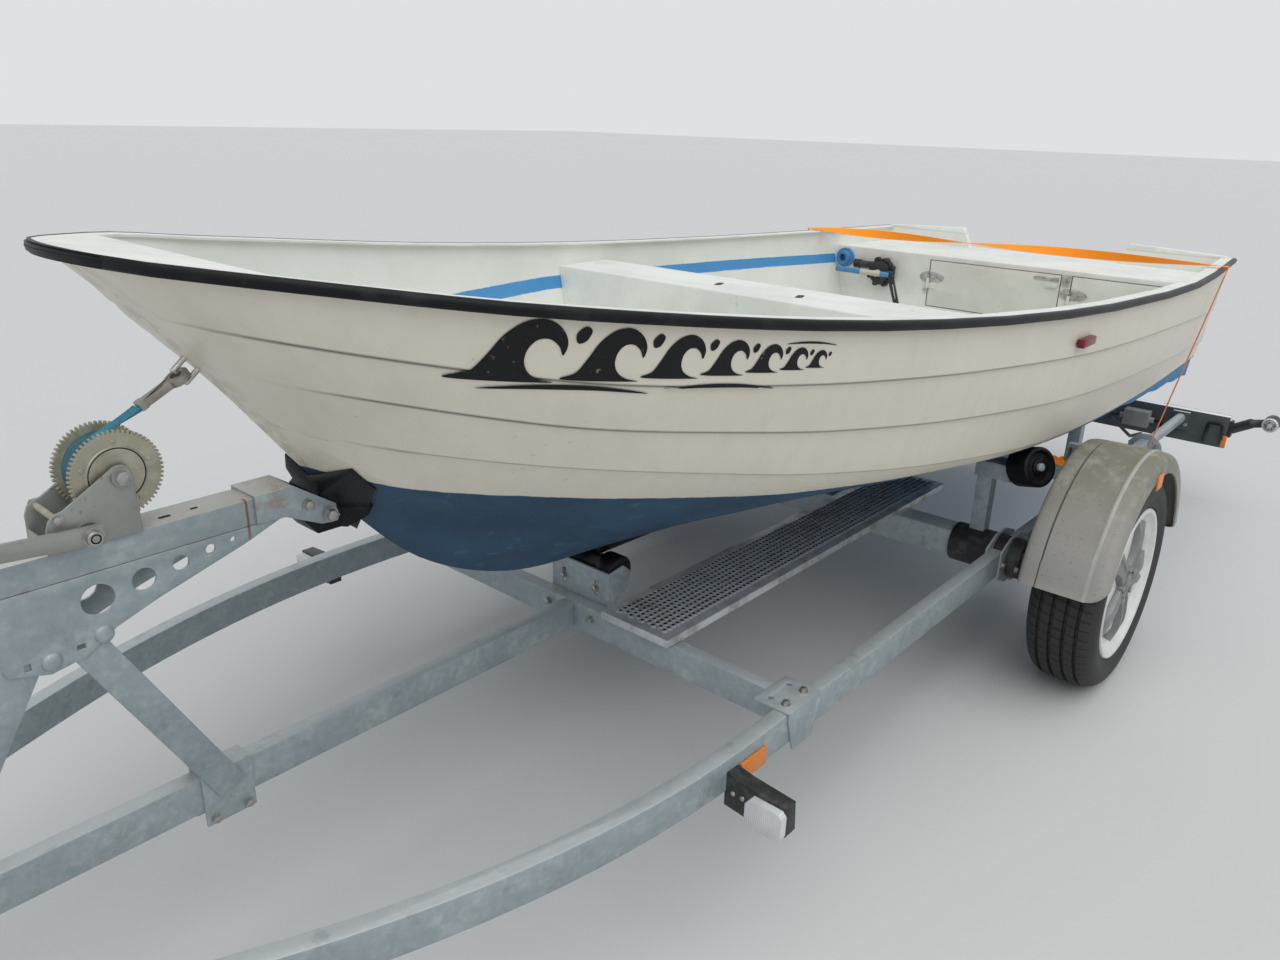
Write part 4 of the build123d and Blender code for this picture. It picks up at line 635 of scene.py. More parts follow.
def joined(work, rings, finish=0, ends=True):
    """Skin rings of corners, each to the next, and close both ends or join the last to the first."""
    faces = []
    for near, far in zip(rings, rings[1:] if ends else rings[1:] + rings[:1]):
        for k in range(len(near)):
            n = (k + 1) % len(near)
            faces.append(work.faces.new((near[k], near[n], far[n], far[k])))
    if ends:
        faces += [work.faces.new(rings[0]), work.faces.new(rings[-1][::-1])]
    for face in faces:
        face.material_index = finish
    return faces


def corners_at(work, spots):
    """New corners at (x, y, z) places in millimetres."""
    return [work.verts.new(place(*spot)) for spot in spots]


def outward(work):
    """The same working mesh with the faces of its closed shapes turned outwards."""
    bmesh.ops.recalc_face_normals(work, faces=work.faces)
    return work


def front_plate(work, outline, back, front):
    """A flat plate on a cross-ship face, from an outline of (y, z) points in millimetres."""
    joined(work, [corners_at(work, [(x, y, z) for y, z in outline]) for x in (back, front)])


def hinge_leaf(root, reach):
    """Half of a butterfly hinge, rounded from its root out to its reach."""
    return [(root + reach * math.sin(turn), HINGE_MID + 19 * math.cos(turn))
            for turn in (math.pi * k / 12 for k in range(13))]


# Each door has a butterfly hinge of stainless sheet on its starboard edge, a hasp on its free edge
# and a keeper plate beside that. Panels are drawn a little larger than the CAD's, as the gap is small.
FACE_X, HINGE_MID, HASP_Z = -1020, 748, 792
DOOR_EDGES = {"starboard": (-250, 200), "port": (240, 555)}
TALLER, WIDER, NEAR = 0.0017, 0.0015, 0.0002  # metres
keepers = bmesh.new()
for name, (hinge_side, free_side) in DOOR_EDGES.items():
    work = merged("locker_door_" + name)
    heights = [corner.co.z for corner in work.verts]
    bottom, top_edge, free = min(heights), max(heights), max(corner.co.y for corner in work.verts)
    for corner in work.verts:
        if corner.co.z > top_edge - NEAR:
            corner.co.z += TALLER
        if corner.co.z < bottom + NEAR:
            corner.co.z -= TALLER
        if corner.co.y > free - NEAR:
            corner.co.y += WIDER
    fit("door_panel_" + name, work, [doors], "interior_white", "locker_door_" + name,
        rounding=1.2, body="door_" + name)
    work = bmesh.new()
    front_plate(work, hinge_leaf(hinge_side + 1, 54), FACE_X - 0.4, FACE_X + 2.9)
    hasp = [(3, -7), (3, 7), (26, 5), (80, 5), (86, 0), (80, -5), (26, -5)]
    front_plate(work, [(free_side - y, HASP_Z + z) for y, z in hasp], FACE_X - 0.4, FACE_X + 4)
    fit("door_metal_" + name, outward(work), [steel], "stainless", rounding=0.5, body="door_" + name)
    front_plate(keepers, hinge_leaf(hinge_side - 6, -30), FACE_X - 0.4, FACE_X + 1.8)
    for plate, back, front in ((((7, -20), (32, -20), (34, 18), (7, 18)), -0.4, 2.4),
                               (((14, -9), (24, -9), (24, 9), (14, 9)), 2, 12)):
        front_plate(keepers, [(free_side + y, HASP_Z + z) for y, z in plate], FACE_X + back, FACE_X + front)
fit("locker_keepers", outward(keepers), [steel], "stainless", rounding=0.5)

# Bilge pump: black moulded diaphragm pump on the locker front, its blue hand lever with a pale
# middle, the slotted bar under it, and a round blue flange for the hose beside it.
moulded = mottled("moulded_black", (0.02, 0.02, 0.021), 0.45, noise=(30, 4, 0.6), edge=(0.56, 0.1, 0.5),
                  colours=((0.017, 0.017, 0.018), (0.09, 0.088, 0.08)), gloss=(0.38, 0.25),
                  lumps=(0.2, 0.0003), grain=(220, 2))
plastic_blue = mottled("blue_plastic", (0.06, 0.23, 0.5), 0.35, noise=(24, 4), gloss=(0.3, 0.2),
                       colours=((0.045, 0.19, 0.42), (0.1, 0.31, 0.58)), lumps=(0.15, 0.0006))
cream = mottled("cream_plastic", (0.66, 0.62, 0.5), 0.4, noise=(40, 3), gloss=(0.35, 0.2),
                colours=((0.68, 0.64, 0.52), (0.5, 0.47, 0.38)), lumps=(0.15, 0.0004))
work = merged("bilge_pump")
LEVER_OUT, LEVER_LOW, LEVER_END, CREAM_Y = 47, 732, -375.5, (-491, -411)
for y in CREAM_Y:
    cut(work, place(0, y, 0), (0, 1, 0))
for face in work.faces:
    spot = face.calc_center_median()
    lever = spot.x > place(FACE_X + LEVER_OUT, 0, 0).x and spot.z > LEVER_LOW / 1000
    if lever and spot.y < LEVER_END / 1000:
        face.material_index = 2 if CREAM_Y[0] / 1000 < spot.y < CREAM_Y[1] / 1000 else 1
    else:
        face.material_index = 0
fit("bilge_pump_worked", work, [moulded, plastic_blue, cream], "black_plastic", "bilge_pump", rounding=1.2)
dress("hose_flange", plastic_blue, 2)


# Trailer frame: rectangular steel tube, pressed plates and flat bar, all hot-dip galvanised, so
# edges are softly rounded and the zinc shows cloudy crystals, bluer on the sides; the paler tops are painted
# light.
def galvanised(name, shade=1.0, rust=0.0):
    """Zinc-coated steel, with some rust where asked."""
    finish = Finish(name, (0.4, 0.42, 0.42), 0.5, 0.3)
    cells = finish.node("TexVoronoi", {"feature": "F1"},
                        {"Vector": finish.where(), "Scale": 120.0, "Randomness": 1.0}, out="Color")
    grain = finish.parts_of(cells)[0]
    large = finish.node("TexVoronoi", {"feature": "SMOOTH_F1"},
                        {"Vector": finish.where(), "Scale": 46.0, "Smoothness": 0.4}, out="Color")
    patch = finish.parts_of(large)[1]
    cloud, fine = finish.noise(7, 4), finish.noise(85, 4)
    up = finish.facing()[2].over(0.6, 0.25)
    level = cloud * 0.4 + grain * 0.08 + patch * 0.14 + fine * 0.38
    stops = [(0.3, (0.27, 0.325, 0.345)), (0.52, (0.34, 0.395, 0.415)), (0.72, (0.46, 0.51, 0.52))]
    tone = finish.node("ValToRGB", {"stops": [(at, tuple(part * shade for part in tint))
                                              for at, tint in stops]}, [level])
    # Faces that look up are painted paler: painted light from above
    tone = finish.mix(up * 0.55, tone, (0.6 * shade, 0.62 * shade, 0.61 * shade))
    dirt_and_shade = finish.noise(16, 5, 0.7)
    tone = finish.mix(dirt_and_shade.over(0.63, 0.06) * 0.3, tone, (0.16, 0.15, 0.12))
    if rust:
        spots = finish.noise(11, 5, 0.7, (1, 1, 1.6)).over(0.64, 0.06)
        # On the rusty zinc the tops are whitened further, over that painted light
        tone = finish.mix(up * 0.75, tone, (0.72, 0.7, 0.67))
        tone = finish.mix(spots * rust, tone, (0.3, 0.14, 0.07))
        # A thread of rust runs down the port side of the winch post
        ahead, aside, above = finish.spot()
        thread = abs(ahead - 1.018 + finish.noise(30, 2) * 0.003)
        drip = (1 - thread.over(0.0018, 0.0014)) * aside.over(0.02, 0.004) * above.over(0.676, 0.016)
        tone = finish.mix(drip * 0.85, tone, (0.2, 0.075, 0.025))
    finish.set(Base_Color=tone, Roughness=0.36 + cloud * 0.2 + grain * 0.12)
    return finish.bump(fine * 1.2 + patch * 0.3, 0.18, 0.0007)


zinc = galvanised("galvanised")
for node, rounding in (("side_rails", 3.2), ("cross_tubes", 3.2), ("centre_tube", 3.2), ("frame_plates", 1.4),
                       ("axle_beam", 4), ("axle_cheeks", 1.6), ("guard_stays", 1.2), ("side_posts", 2.5),
                       ("keel_roller_bracket", 1.2), ("rear_posts", 2.5), ("leg_clamps", 1.4),
                       ("winch_post_legs", 1.4), ("light_bar_tubes", 0.8), ("jockey_clamp", 1),
                       ("jockey_tube", 0.8), ("jockey_fork", 1)):
    dress(node, zinc, rounding)
old_zinc = galvanised("galvanised_rusty", 1.04, 0.5)
for node, rounding in (("winch_post_tube", 4), ("winch_post_gussets", 0.7), ("bow_block_cap", 2)):
    dress(node, old_zinc, rounding)
dress("axle_housings", moulded, 2.5)
dress("swing_arms", moulded, 3)

# Rubber of the trailer: the V block that the stem is pulled into, bolted under its cap, whose arms
# hug the bow, the keel roller, the ribbed side rollers and the cased cables to the lights.
dress("bow_block", rubber, 3)
# The block's arms in millimetres; they lean and taper by a share of how far they reach from the stem
ARM_FORE, ARM_AFT, ARM_THICK, ARM_GAP = 1596, 1514, 44, 1.6
ARM_LEAN, ARM_TAPER = 0.37, 0.34
ARM_REACHES = range(-60, 121, 10)
work = bmesh.new()
rings = []
for reach in ARM_REACHES:
    aft = ARM_AFT + ARM_LEAN * abs(reach)
    ring = []
    for j in range(7):
        x = aft + (ARM_FORE - aft) * j / 6
        curve = side_curve(x)
        z = curve[-1][1]
        for (y0, z0), (y1, z1) in zip(curve, curve[1:]):
            if y0 <= abs(reach) <= y1:
                z = z0 + (z1 - z0) * (abs(reach) - y0) / max(y1 - y0, 0.001)
                break
        ring.append((x, z - ARM_GAP))
    thick = ARM_THICK - ARM_TAPER * abs(reach)
    aft_top, fore_top = ring[0][1], ring[-1][1]
    ring += [(ARM_FORE + 0.07 * thick, fore_top - 0.1 * thick), (ARM_FORE + 0.1 * thick, fore_top - thick),
             (aft + 0.14 * thick, aft_top - 0.32 * thick - 1)]
    rings.append(corners_at(work, [(x, reach, z) for x, z in ring]))
joined(work, rings)
fit("bow_block_arms", outward(work), [rubber], "black_rubber", rounding=2)
dress("keel_roller", rubber, 0, 50)
dress("side_rollers", rubber, 1)
work = merged("light_cables", flat=False)
CASING = 0.0014
for corner in work.verts:
    corner.co += corner.normal * CASING
fit("cables_cased", work, [rubber], "black_rubber", "light_cables", smooth=50)


# Fasteners: zinc-plated hex bolts on washers and round-headed carriage bolts. Each is placed by
# its seat, the way that it faces and its size across.
class Tree:
    """A Geometry Nodes tree that makes one kind of repeated piece."""

    def __init__(self, name, **sizes):
        self.group = bpy.data.node_groups.new(name, "GeometryNodeTree")
        face = self.group.interface
        face.new_socket("Shape", in_out="INPUT", socket_type="NodeSocketGeometry")
        face.new_socket("Shape", in_out="OUTPUT", socket_type="NodeSocketGeometry")
        self.given = {}
        for label, value in sizes.items():
            kind = "NodeSocketInt" if isinstance(value, int) else "NodeSocketFloat"
            self.given[face.new_socket(label, in_out="INPUT", socket_type=kind).identifier] = value
        self.start = self.group.nodes.new("NodeGroupInput")
        self.end = self.group.nodes.new("NodeGroupOutput")

    def node(self, kind, settings=None, values=None, out=0):
        """Add a node, its settings first, then its sockets by name or number."""
        node = self.group.nodes.new(kind)
        for name, value in (settings or {}).items():
            setattr(node, name, value)
        for name, value in (values or {}).items():
            for one in value if isinstance(value, list) else [value]:
                if isinstance(one, bpy.types.NodeSocket):
                    self.group.links.new(one, node.inputs[name])
                else:
                    node.inputs[name].default_value = one
        return node.outputs[out]

    def size(self, label):
        """A named size of the tree."""
        return self.start.outputs[label]

    def coat(self, shape, finish):
        """Give a shape its material."""
        return self.node("GeometryNodeSetMaterial", None, {"Geometry": shape, "Material": finish.material})

    def lift(self, shape, x=0.0, y=0.0, z=0.0, scale=(1, 1, 1)):
        """Move and stretch a shape."""
        return self.node("GeometryNodeTransform", None,
                         {"Geometry": shape, "Translation": (x, y, z), "Scale": scale})

    def made(self, shape, carrier=None):
        """The finished shape as one plain mesh."""
        real = self.node("GeometryNodeRealizeInstances", None, {"Geometry": shape})
        self.group.links.new(real, self.end.inputs[0])
        holder = bpy.data.objects.new(self.group.name, carrier or bpy.data.meshes.new(self.group.name))
        bpy.context.collection.objects.link(holder)
        maker = holder.modifiers.new("maker", "NODES")
        maker.node_group = self.group
        for identifier, value in self.given.items():
            maker[identifier] = value
        mesh = bpy.data.meshes.new_from_object(holder.evaluated_get(bpy.context.evaluated_depsgraph_get()))
        bpy.data.objects.remove(holder)
        return mesh


def seats(name, rows):
    """A mesh of bolt seats: places in millimetres, facings and sizes across."""
    mesh = bpy.data.meshes.new(name)
    mesh.from_pydata([place(*spot) for spot, way, across in rows], [], [])
    mesh.attributes.new("facing", "FLOAT_VECTOR", "POINT")
    mesh.attributes.new("across", "FLOAT", "POINT")
    for k, (spot, way, across) in enumerate(rows):
        mesh.attributes["facing"].data[k].vector = way
        mesh.attributes["across"].data[k].value = across / 1000
    return mesh


def bolted(name, rows, head, finish, body="boat_and_trailer"):
    """One mesh of bolts of a kind on a body."""
    tree = Tree(name, Washer=0.62, Head=0.5)
    if head == "hex":
        washer = tree.node("GeometryNodeMeshCylinder", None,
                           {"Vertices": 20, "Radius": tree.size("Washer"), "Depth": 0.12})
        nut = tree.node("GeometryNodeMeshCylinder", None,
                        {"Vertices": 6, "Radius": tree.size("Head"), "Depth": 0.42})
        cap = tree.node("GeometryNodeMeshCone", None,
                        {"Vertices": 18, "Radius Top": 0.3, "Radius Bottom": 0.42, "Depth": 0.06})
        parts = [tree.lift(washer, z=0.06), tree.lift(nut, z=0.32), tree.lift(cap, z=0.53)]
    else:
        ball = tree.node("GeometryNodeMeshUVSphere", None, {"Segments": 22, "Rings": 14, "Radius": 0.5})
        parts = [tree.lift(ball, scale=(1, 1, 0.5))]
    whole = tree.coat(tree.node("GeometryNodeJoinGeometry", None, {"Geometry": parts}), finish)
    facing = tree.node("GeometryNodeInputNamedAttribute", {"data_type": "FLOAT_VECTOR"}, {"Name": "facing"})
    across = tree.node("GeometryNodeInputNamedAttribute", {"data_type": "FLOAT"}, {"Name": "across"})
    turn = tree.node("FunctionNodeAlignRotationToVector", {"axis": "Z"}, {"Vector": facing})
    spread = tree.node("GeometryNodeInstanceOnPoints", None, {
        "Points": tree.start.outputs[0], "Instance": whole, "Rotation": turn, "Scale": across})
    fit_mesh(name, shaded(tree.made(spread, seats(name, rows)), 40), body=body)


plated = mottled("plated_steel", (0.5, 0.5, 0.48), 0.34, 0.85, noise=(160, 4), gloss=(0.26, 0.25),
                 colours=((0.5, 0.5, 0.485), (0.3, 0.29, 0.26)), lumps=(0.15, 0.0003))
BOTH = (1, -1)
OUT, FORE, UP = (0, 1, 0), (1, 0, 0), (0, 0, 1)


def a_side(rows):
    """Rows of (x, y, z), facing and size across, on the port side and again to starboard."""
    return [((x, side * y, z), (way[0], side * way[1], way[2]), across)
            for side in BOTH for (x, y, z), way, across in rows]


bolted("carriage_bolts", a_side([((x, 30, z), OUT, 25) for x, z in ((1985, 594), (1920, 608))]), "dome", zinc)
hexes = a_side([((1620, 34, 705), OUT, 16)]) + a_side([((1588, 40, 682), OUT, 19)])
hexes += a_side([((x + reach, 20, 246), OUT, 13) for x in (1782, 2190) for reach in (-22, 30)])
hexes += a_side([((x, 542, 324), UP, 13) for x in (1007, 1063)])
hexes += a_side([((105 + 66 * math.cos(turn), 596.5, 290 + 30 * math.sin(turn)), OUT, 13)
                 for turn in (0.0, math.pi)])
hexes += a_side([((105 + reach, 565, 290 + rise), OUT, 14) for reach, rise in ((-72, 0), (66, 0), (0, -52))])
hexes += [((1010.5, y, 352), FORE, 13) for y in (-46, 46)] + [((1040.5, y, 296), FORE, 14) for y in (-62, 62)]
hexes += a_side([((x, 565, 290), OUT, 13) for x in (-43, -223)])
hexes += [(spot, UP, 16) for spot in ((2588, -60, 325), (2588, 60, 325), (2690, 0, 325))]
hexes += a_side([((-1049.5, 547 + y, 300), FORE, 12) for y in (-34, 34)])
hexes += a_side([((-1487.5, 547 + y, 280), FORE, 11) for y in (-20, 20)])
hexes += a_side([((2767, 21.5, z), OUT, 14) for z in (274, 306)])
bolted("hex_bolts", hexes, "hex", plated)
for name, (root, _) in DOOR_EDGES.items():
    screws = [((FACE_X + 2.9, root + across, HINGE_MID + rise), FORE, 6)
              for across, rise in ((14, 9), (14, -9), (40, 0))]
    bolted("door_screws_" + name, screws, "dome", plated, "door_" + name)
bolted("locker_screws", [((FACE_X + 1.8, root - across, HINGE_MID + rise), FORE, 6)
                         for root, _ in DOOR_EDGES.values() for across, rise in ((14, 9), (14, -9), (28, 0))],
       "dome", plated)


# Walkway: folded aluminium sheet with a pressed, slip-proof top. Each raised dimple has an open
# hole, drawn as a well whose walls and bottom are painted near black as shade; they stand in staggered rows
# with a plain margin all round.
sheet = Finish("walkway_aluminium", (0.6, 0.61, 0.61), 0.34, 0.6)
brushed = sheet.noise(40, 4, 0.6, (0.2, 3, 1))
mud = sheet.noise(15, 5, 0.7)
metal = sheet.mix(brushed, (0.74, 0.75, 0.755), (0.52, 0.53, 0.54))
sheet.set(Base_Color=sheet.mix(mud.over(0.56, 0.1) * 0.5, metal, (0.14, 0.135, 0.12)),
          Roughness=0.26 + brushed * 0.2 + mud.over(0.56, 0.1) * 0.25)
sheet.bump(brushed, 0.12, 0.0004)
# Near-black painted shade, for holes, slots and a groove that are drawn closed or shallow
hole_shade = Finish("painted_hole_shade", (0.012, 0.012, 0.012), 0.8)
hole_shade.set(Roughness=0.7 + hole_shade.noise(60) * 0.2)
dress("walkway_plank", sheet, 0.9)
tree = Tree("walkway_dimples", Length=1.131, Width=0.112, Rows=88, Across=5, Between_Length=1.118,
            Between_Width=0.084, Crown=0.0052, Foot=0.0088, Height=0.0026, Lip=0.0038, Bottom=0.0033)
OPEN_CONE = ("GeometryNodeMeshCone", {"fill_type": "NONE"})
ring = tree.node(*OPEN_CONE, {"Vertices": 12, "Radius Top": tree.size("Crown"),
                              "Radius Bottom": tree.size("Foot"), "Depth": tree.size("Height")})
lip = tree.node(*OPEN_CONE, {"Vertices": 12, "Radius Top": tree.size("Lip"),
                             "Radius Bottom": tree.size("Crown"), "Depth": 0.0004})
inner = tree.node("GeometryNodeFlipFaces", None, {"Mesh": tree.node(*OPEN_CONE, {
    "Vertices": 12, "Radius Top": tree.size("Lip"), "Radius Bottom": tree.size("Bottom"), "Depth": 0.0028})})
bottom = tree.node("GeometryNodeMeshCircle", {"fill_type": "NGON"}, {"Vertices": 12, "Radius": 0.0034})
dimple = tree.node("GeometryNodeJoinGeometry", None, {"Geometry": [
    tree.coat(ring, sheet), tree.coat(tree.lift(lip, z=0.0026), sheet),
    tree.coat(tree.lift(inner, z=0.0002), hole_shade), tree.coat(tree.lift(bottom, z=0.0002), hole_shade)]})
rows = tree.node("GeometryNodeMeshGrid", None, {
    "Size X": tree.size("Length"), "Size Y": tree.size("Width"),
    "Vertices X": tree.size("Rows"), "Vertices Y": tree.size("Across")})
between = tree.node("GeometryNodeMeshGrid", None, {
    "Size X": tree.size("Between_Length"), "Size Y": tree.size("Between_Width"),
    "Vertices X": 87, "Vertices Y": 4})
spots = tree.node("GeometryNodeJoinGeometry", None, {"Geometry": [rows, between]})
PLANK_X, PLANK_Y, PLANK_TOP = (-120, 1062), 194, 342
middle = place(sum(PLANK_X) / 2, PLANK_Y, PLANK_TOP)
spots = tree.lift(spots, middle.x, middle.y, middle.z)
field = tree.node("GeometryNodeInstanceOnPoints", None, {"Points": spots, "Instance": dimple})
fit_mesh("walkway_dimples", shaded(tree.made(field), 50))


# Road wheels: low-profile road tyres with four grooves round the tread, on silver cast alloy rims
# with five wide spokes, a pale lip and five bolts. The spokes and hub are painted darker as shade and
# the barrel, lip and pockets near white as painted light. Each tyre turns with its rim.
def lathe(work, profile, centre, steps=120, finish=0, way=1):
    """Turn a closed outline of (sideways, radius) pairs in millimetres about a cross-ship axle."""
    x, y, z = centre
    rings = []
    for step in range(steps):
        turn = 2 * math.pi * step / steps
        rings.append(corners_at(work, [
            (x + radius * math.cos(turn), y + way * out, z + radius * math.sin(turn))
            for out, radius in profile]))
    joined(work, rings, finish, ends=False)


WHEEL_Z = 262.5
tyre = Finish("tyre_rubber", (0.02, 0.02, 0.021), 0.62)
ahead, aside, above = tyre.spot()
forward_by, up_by = ahead + AXLE_LINE, above - WHEEL_Z / 1000
angle = tyre.node("Math", {"operation": "ARCTAN2"}, [up_by, forward_by])
reach = tyre.node("VectorMath", {"operation": "LENGTH"},
                  [tyre.node("CombineXYZ", None, [forward_by, 0.0, up_by])], out="Value")
sipe = (angle * 68 + aside * 60).sine()
# Sipes across the tread are bumped in and painted near black as shade
grooved = sipe.over(0.72, 0.12) * reach.over(0.2515, 0.002)
dust = tyre.noise(30, 4, 0.65)
tread = tyre.mix(dust, (0.013, 0.013, 0.014), (0.034, 0.033, 0.031))
tyre.set(Base_Color=tyre.mix(grooved * 0.8, tread, (0.004, 0.004, 0.004)), Roughness=0.55 + dust * 0.25)
tyre.bump(dust * 0.12 - grooved * 1.6, 0.6, 0.002)
half = [(61.6, 166), (66, 178), (66.6, 186), (70, 188), (72, 192), (71.5, 196), (74.5, 204), (77, 216),
        (77.6, 225), (76, 233), (72.5, 241), (67, 248.4), (60.5, 254.4), (53, 258.6), (45.5, 260.8),
        (44.5, 254.5), (38.3, 254.5), (37, 261.9), (19, 262.4), (17.7, 255), (11.3, 255), (10, 262.5)]
outline = half + [(-out, radius) for out, radius in reversed(half)]
# One alloy in two copies: a darker silver as painted shade on spokes and hub, a near white as painted light
# on barrel, lip and pockets
silver = mottled("silver_rim_shaded", (0.24, 0.245, 0.25), 0.4, 0.3, noise=(26, 4, 0.6), edge=(0.5, 0.2, 0.4),
                 colours=((0.25, 0.255, 0.255), (0.15, 0.145, 0.135)), gloss=(0.3, 0.2), lumps=(0.1, 0.0004))
lit_recess = mottled("rim_recess_lit", (0.8, 0.81, 0.8), 0.5, 0.1, noise=(30, 4), gloss=(0.4, 0.3),
                 colours=((0.86, 0.87, 0.86), (0.6, 0.59, 0.56)), lumps=(0.1, 0.0005))
WHEEL_Y = 734
BARREL = [(-72, 183), (-72, 158), (-46, 146), (20, 150), (44, 152)]
LIP = [(52, 152), (56, 155), (60, 162), (65, 168), (69, 170), (71.4, 173), (72.6, 177), (72, 181), (69, 183),
       (67, 183), (62, 166), (20, 160), (-62, 166), (-67, 183)]
# Outline, steps round and finish (0 silver in painted shade, 1 near-white recess in painted light) of each
# turned part of the rim
TURNED = [(BARREL + LIP, 120, 1), ([(-44, 144), (46, 150), (46, 152), (-44, 147)], 120, 1),
          ([(-30, 0.5), (-30, 148), (38, 150), (52, 122), (56, 0.5)], 72, 1),
          ([(10, 0.5), (10, 52), (58, 50), (64, 47), (66, 36), (62, 31), (62, 0.5)], 60, 0),
          ([(60, 0.5), (60, 26), (66, 25), (68.5, 20), (69.5, 0.5)], 48, 0)]
# Along a spoke: distance from the hub's middle, half its breadth, and how far out its face and back stand
SPOKE = [(30, 28, 64, 36), (56, 22, 68, 38), (88, 20, 69, 40), (116, 24, 67, 42), (136, 34, 62, 42),
         (153, 52, 56, 42)]
# Across a spoke: share of the half breadth and height over the face, between its two back corners
SPOKE_FACE = [(-1, -7), (-0.86, 0), (-0.5, 1.5), (-0.3, -3.5), (0.3, -3.5), (0.5, 1.5), (0.86, 0), (1, -7)]
BOLT_CIRCLE = 41
for name, way in (("port", 1), ("starboard", -1)):
    hub = (0, way * WHEEL_Y, WHEEL_Z)
    work = bmesh.new()
    lathe(work, outline, hub)
    fit("tyre_cast_" + name, outward(work), [tyre], "tyre_rubber", "tyre_" + name,
        smooth=38, body="wheel_" + name)
    work = bmesh.new()
    for profile, steps, finish in TURNED:
        lathe(work, profile, hub, steps, finish, way)
    for arm in range(5):
        turn = math.radians(72 * arm - 22)
        rings = []
        for radius, broad, face_out, back_out in SPOKE:
            section = [(share, face_out + over) for share, over in SPOKE_FACE]
            ring = []
            for share, out in [(-1, back_out)] + section + [(1, back_out)]:
                x = radius * math.sin(turn) + share * broad * math.cos(turn)
                z = radius * math.cos(turn) - share * broad * math.sin(turn)
                ring.append(work.verts.new(place(x, way * (WHEEL_Y + out), WHEEL_Z + z)))
            rings.append(ring)
        joined(work, rings)
    fit("rim_cast_" + name, outward(work), [silver, lit_recess], "alloy", "rim_" + name,
        smooth=32, body="wheel_" + name)
    rows = []
    for turn in (math.radians(72 * k + 14) for k in range(5)):
        x, z = BOLT_CIRCLE * math.sin(turn), WHEEL_Z + BOLT_CIRCLE * math.cos(turn)
        rows.append(((x, way * (WHEEL_Y + 62), z), (0, way, 0), 15))
    bolted("wheel_bolts_" + name, rows, "hex", plated, "wheel_" + name)


# Mudguards: moulded grey plastic arches with a groove along the inboard side, a ridge outboard and
# a narrow skirt. They are chalky, with green-grey dirt on top where water dries.
guard = Finish("guard_plastic", (0.33, 0.32, 0.3), 0.55)
above = guard.spot()[2]
crown = above.over(0.5, 0.09)
moss = guard.noise(13, 5, 0.7)
blot = guard.noise(34, 4, 0.6)
chalk = guard.mix(moss, (0.4, 0.385, 0.355), (0.3, 0.29, 0.265))
chalk = guard.mix(crown * moss.over(0.4, 0.12) * 0.8, chalk, (0.17, 0.17, 0.12))
chalk = guard.mix(crown * blot.over(0.62, 0.05) * 0.35, chalk, (0.4, 0.4, 0.36))
chalk = guard.mix(guard.noise(120, 3, 0.6).over(0.66, 0.03) * 0.5, chalk, (0.13, 0.12, 0.085))
guard.set(Base_Color=chalk, Roughness=0.5 + moss * 0.25)
guard.bump(blot + moss, 0.2, 0.0009)
GUARD_X, GUARD_Z, GUARD_ARC, GUARD_RADIUS, GUARD_LONG = -8, 275, 82, 302, 432
FACE_NUMBERS = {6: 1, 12: 2, 13: 2}  # strips of the section that are the groove and the ridge


def guard_section(share):
    """(y, radius) points round the guard's section, share 0 at its middle and 1 at an end."""
    groove = 2.6 if share < 0.84 else 0
    ridge = 2.2 * max(0.0, min(1.0, (0.76 - share) / 0.06))
    lip = 3.0 * max(0.0, (share - 0.965) / 0.035)
    outer = [(640, 288), (641, 294), (645, 298), (652, 300), (668, 301), (677, 301.3),
             (678.4, 301.4 - groove), (681.6, 301.4 - groove), (683, 301.5), (705, 302), (745, 302),
             (777, 302), (780, 302 + ridge * 0.6), (784, 302 + ridge), (788, 302 + ridge * 0.6), (791, 302),
             (799, 301.6), (808, 300), (815, 296), (820, 288)]
    skirt = [(822, 278), (822, 268), (822, 258)]
    inner = [(818, 258), (818, 268), (818, 277), (815.5, 286), (811, 292), (800, 297), (760, 297.5),
             (700, 297.5), (655, 296), (647, 294), (644, 288)]
    turned_in = 1 - math.sqrt(1 - max(0.0, 1 - (1 - share) * GUARD_LONG / 34)**2)
    rounded = []
    for y, r in [(y, r + lip) for y, r in outer] + skirt + inner:
        drawn_up = 0.9 * min(1.0, turned_in**0.5) if y > 812 else 0
        rounded.append((y - max(0.0, y - 786) * turned_in, r + (GUARD_RADIUS - r) * drawn_up))
    return rounded


work = bmesh.new()
ends = [1 - step for step in (0.0, 0.003, 0.008, 0.016, 0.027, 0.04, 0.056, 0.075)]
for way in BOTH:
    rings = []
    for share in sorted([-end for end in ends] + [k / 36 for k in range(-33, 34)] + ends):
        turn = math.radians(GUARD_ARC * share)
        rings.append(corners_at(work, [
            (GUARD_X + radius * math.sin(turn), way * y, GUARD_Z + radius * math.cos(turn))
            for y, radius in guard_section(abs(share))]))
    for k, face in enumerate(joined(work, rings)[:-2]):
        face.material_index = FACE_NUMBERS.get(k % len(rings[0]), 0)
# The groove is coloured darker and the ridge paler than the rest of the guard
groove_dark = Finish("guard_groove", (0.1, 0.095, 0.08), 0.8)
groove_dark.set(Roughness=0.7 + groove_dark.noise(50) * 0.2)
ridge_pale = Finish("guard_ridge", (0.5, 0.49, 0.46), 0.5)
ridge_pale.set(Base_Color=ridge_pale.mix(ridge_pale.noise(40, 4), (0.5, 0.49, 0.46), (0.36, 0.35, 0.32)))
fit("mudguards_moulded", outward(work), [guard, groove_dark, ridge_pale], "grey_plastic", "mudguards", smooth=40)

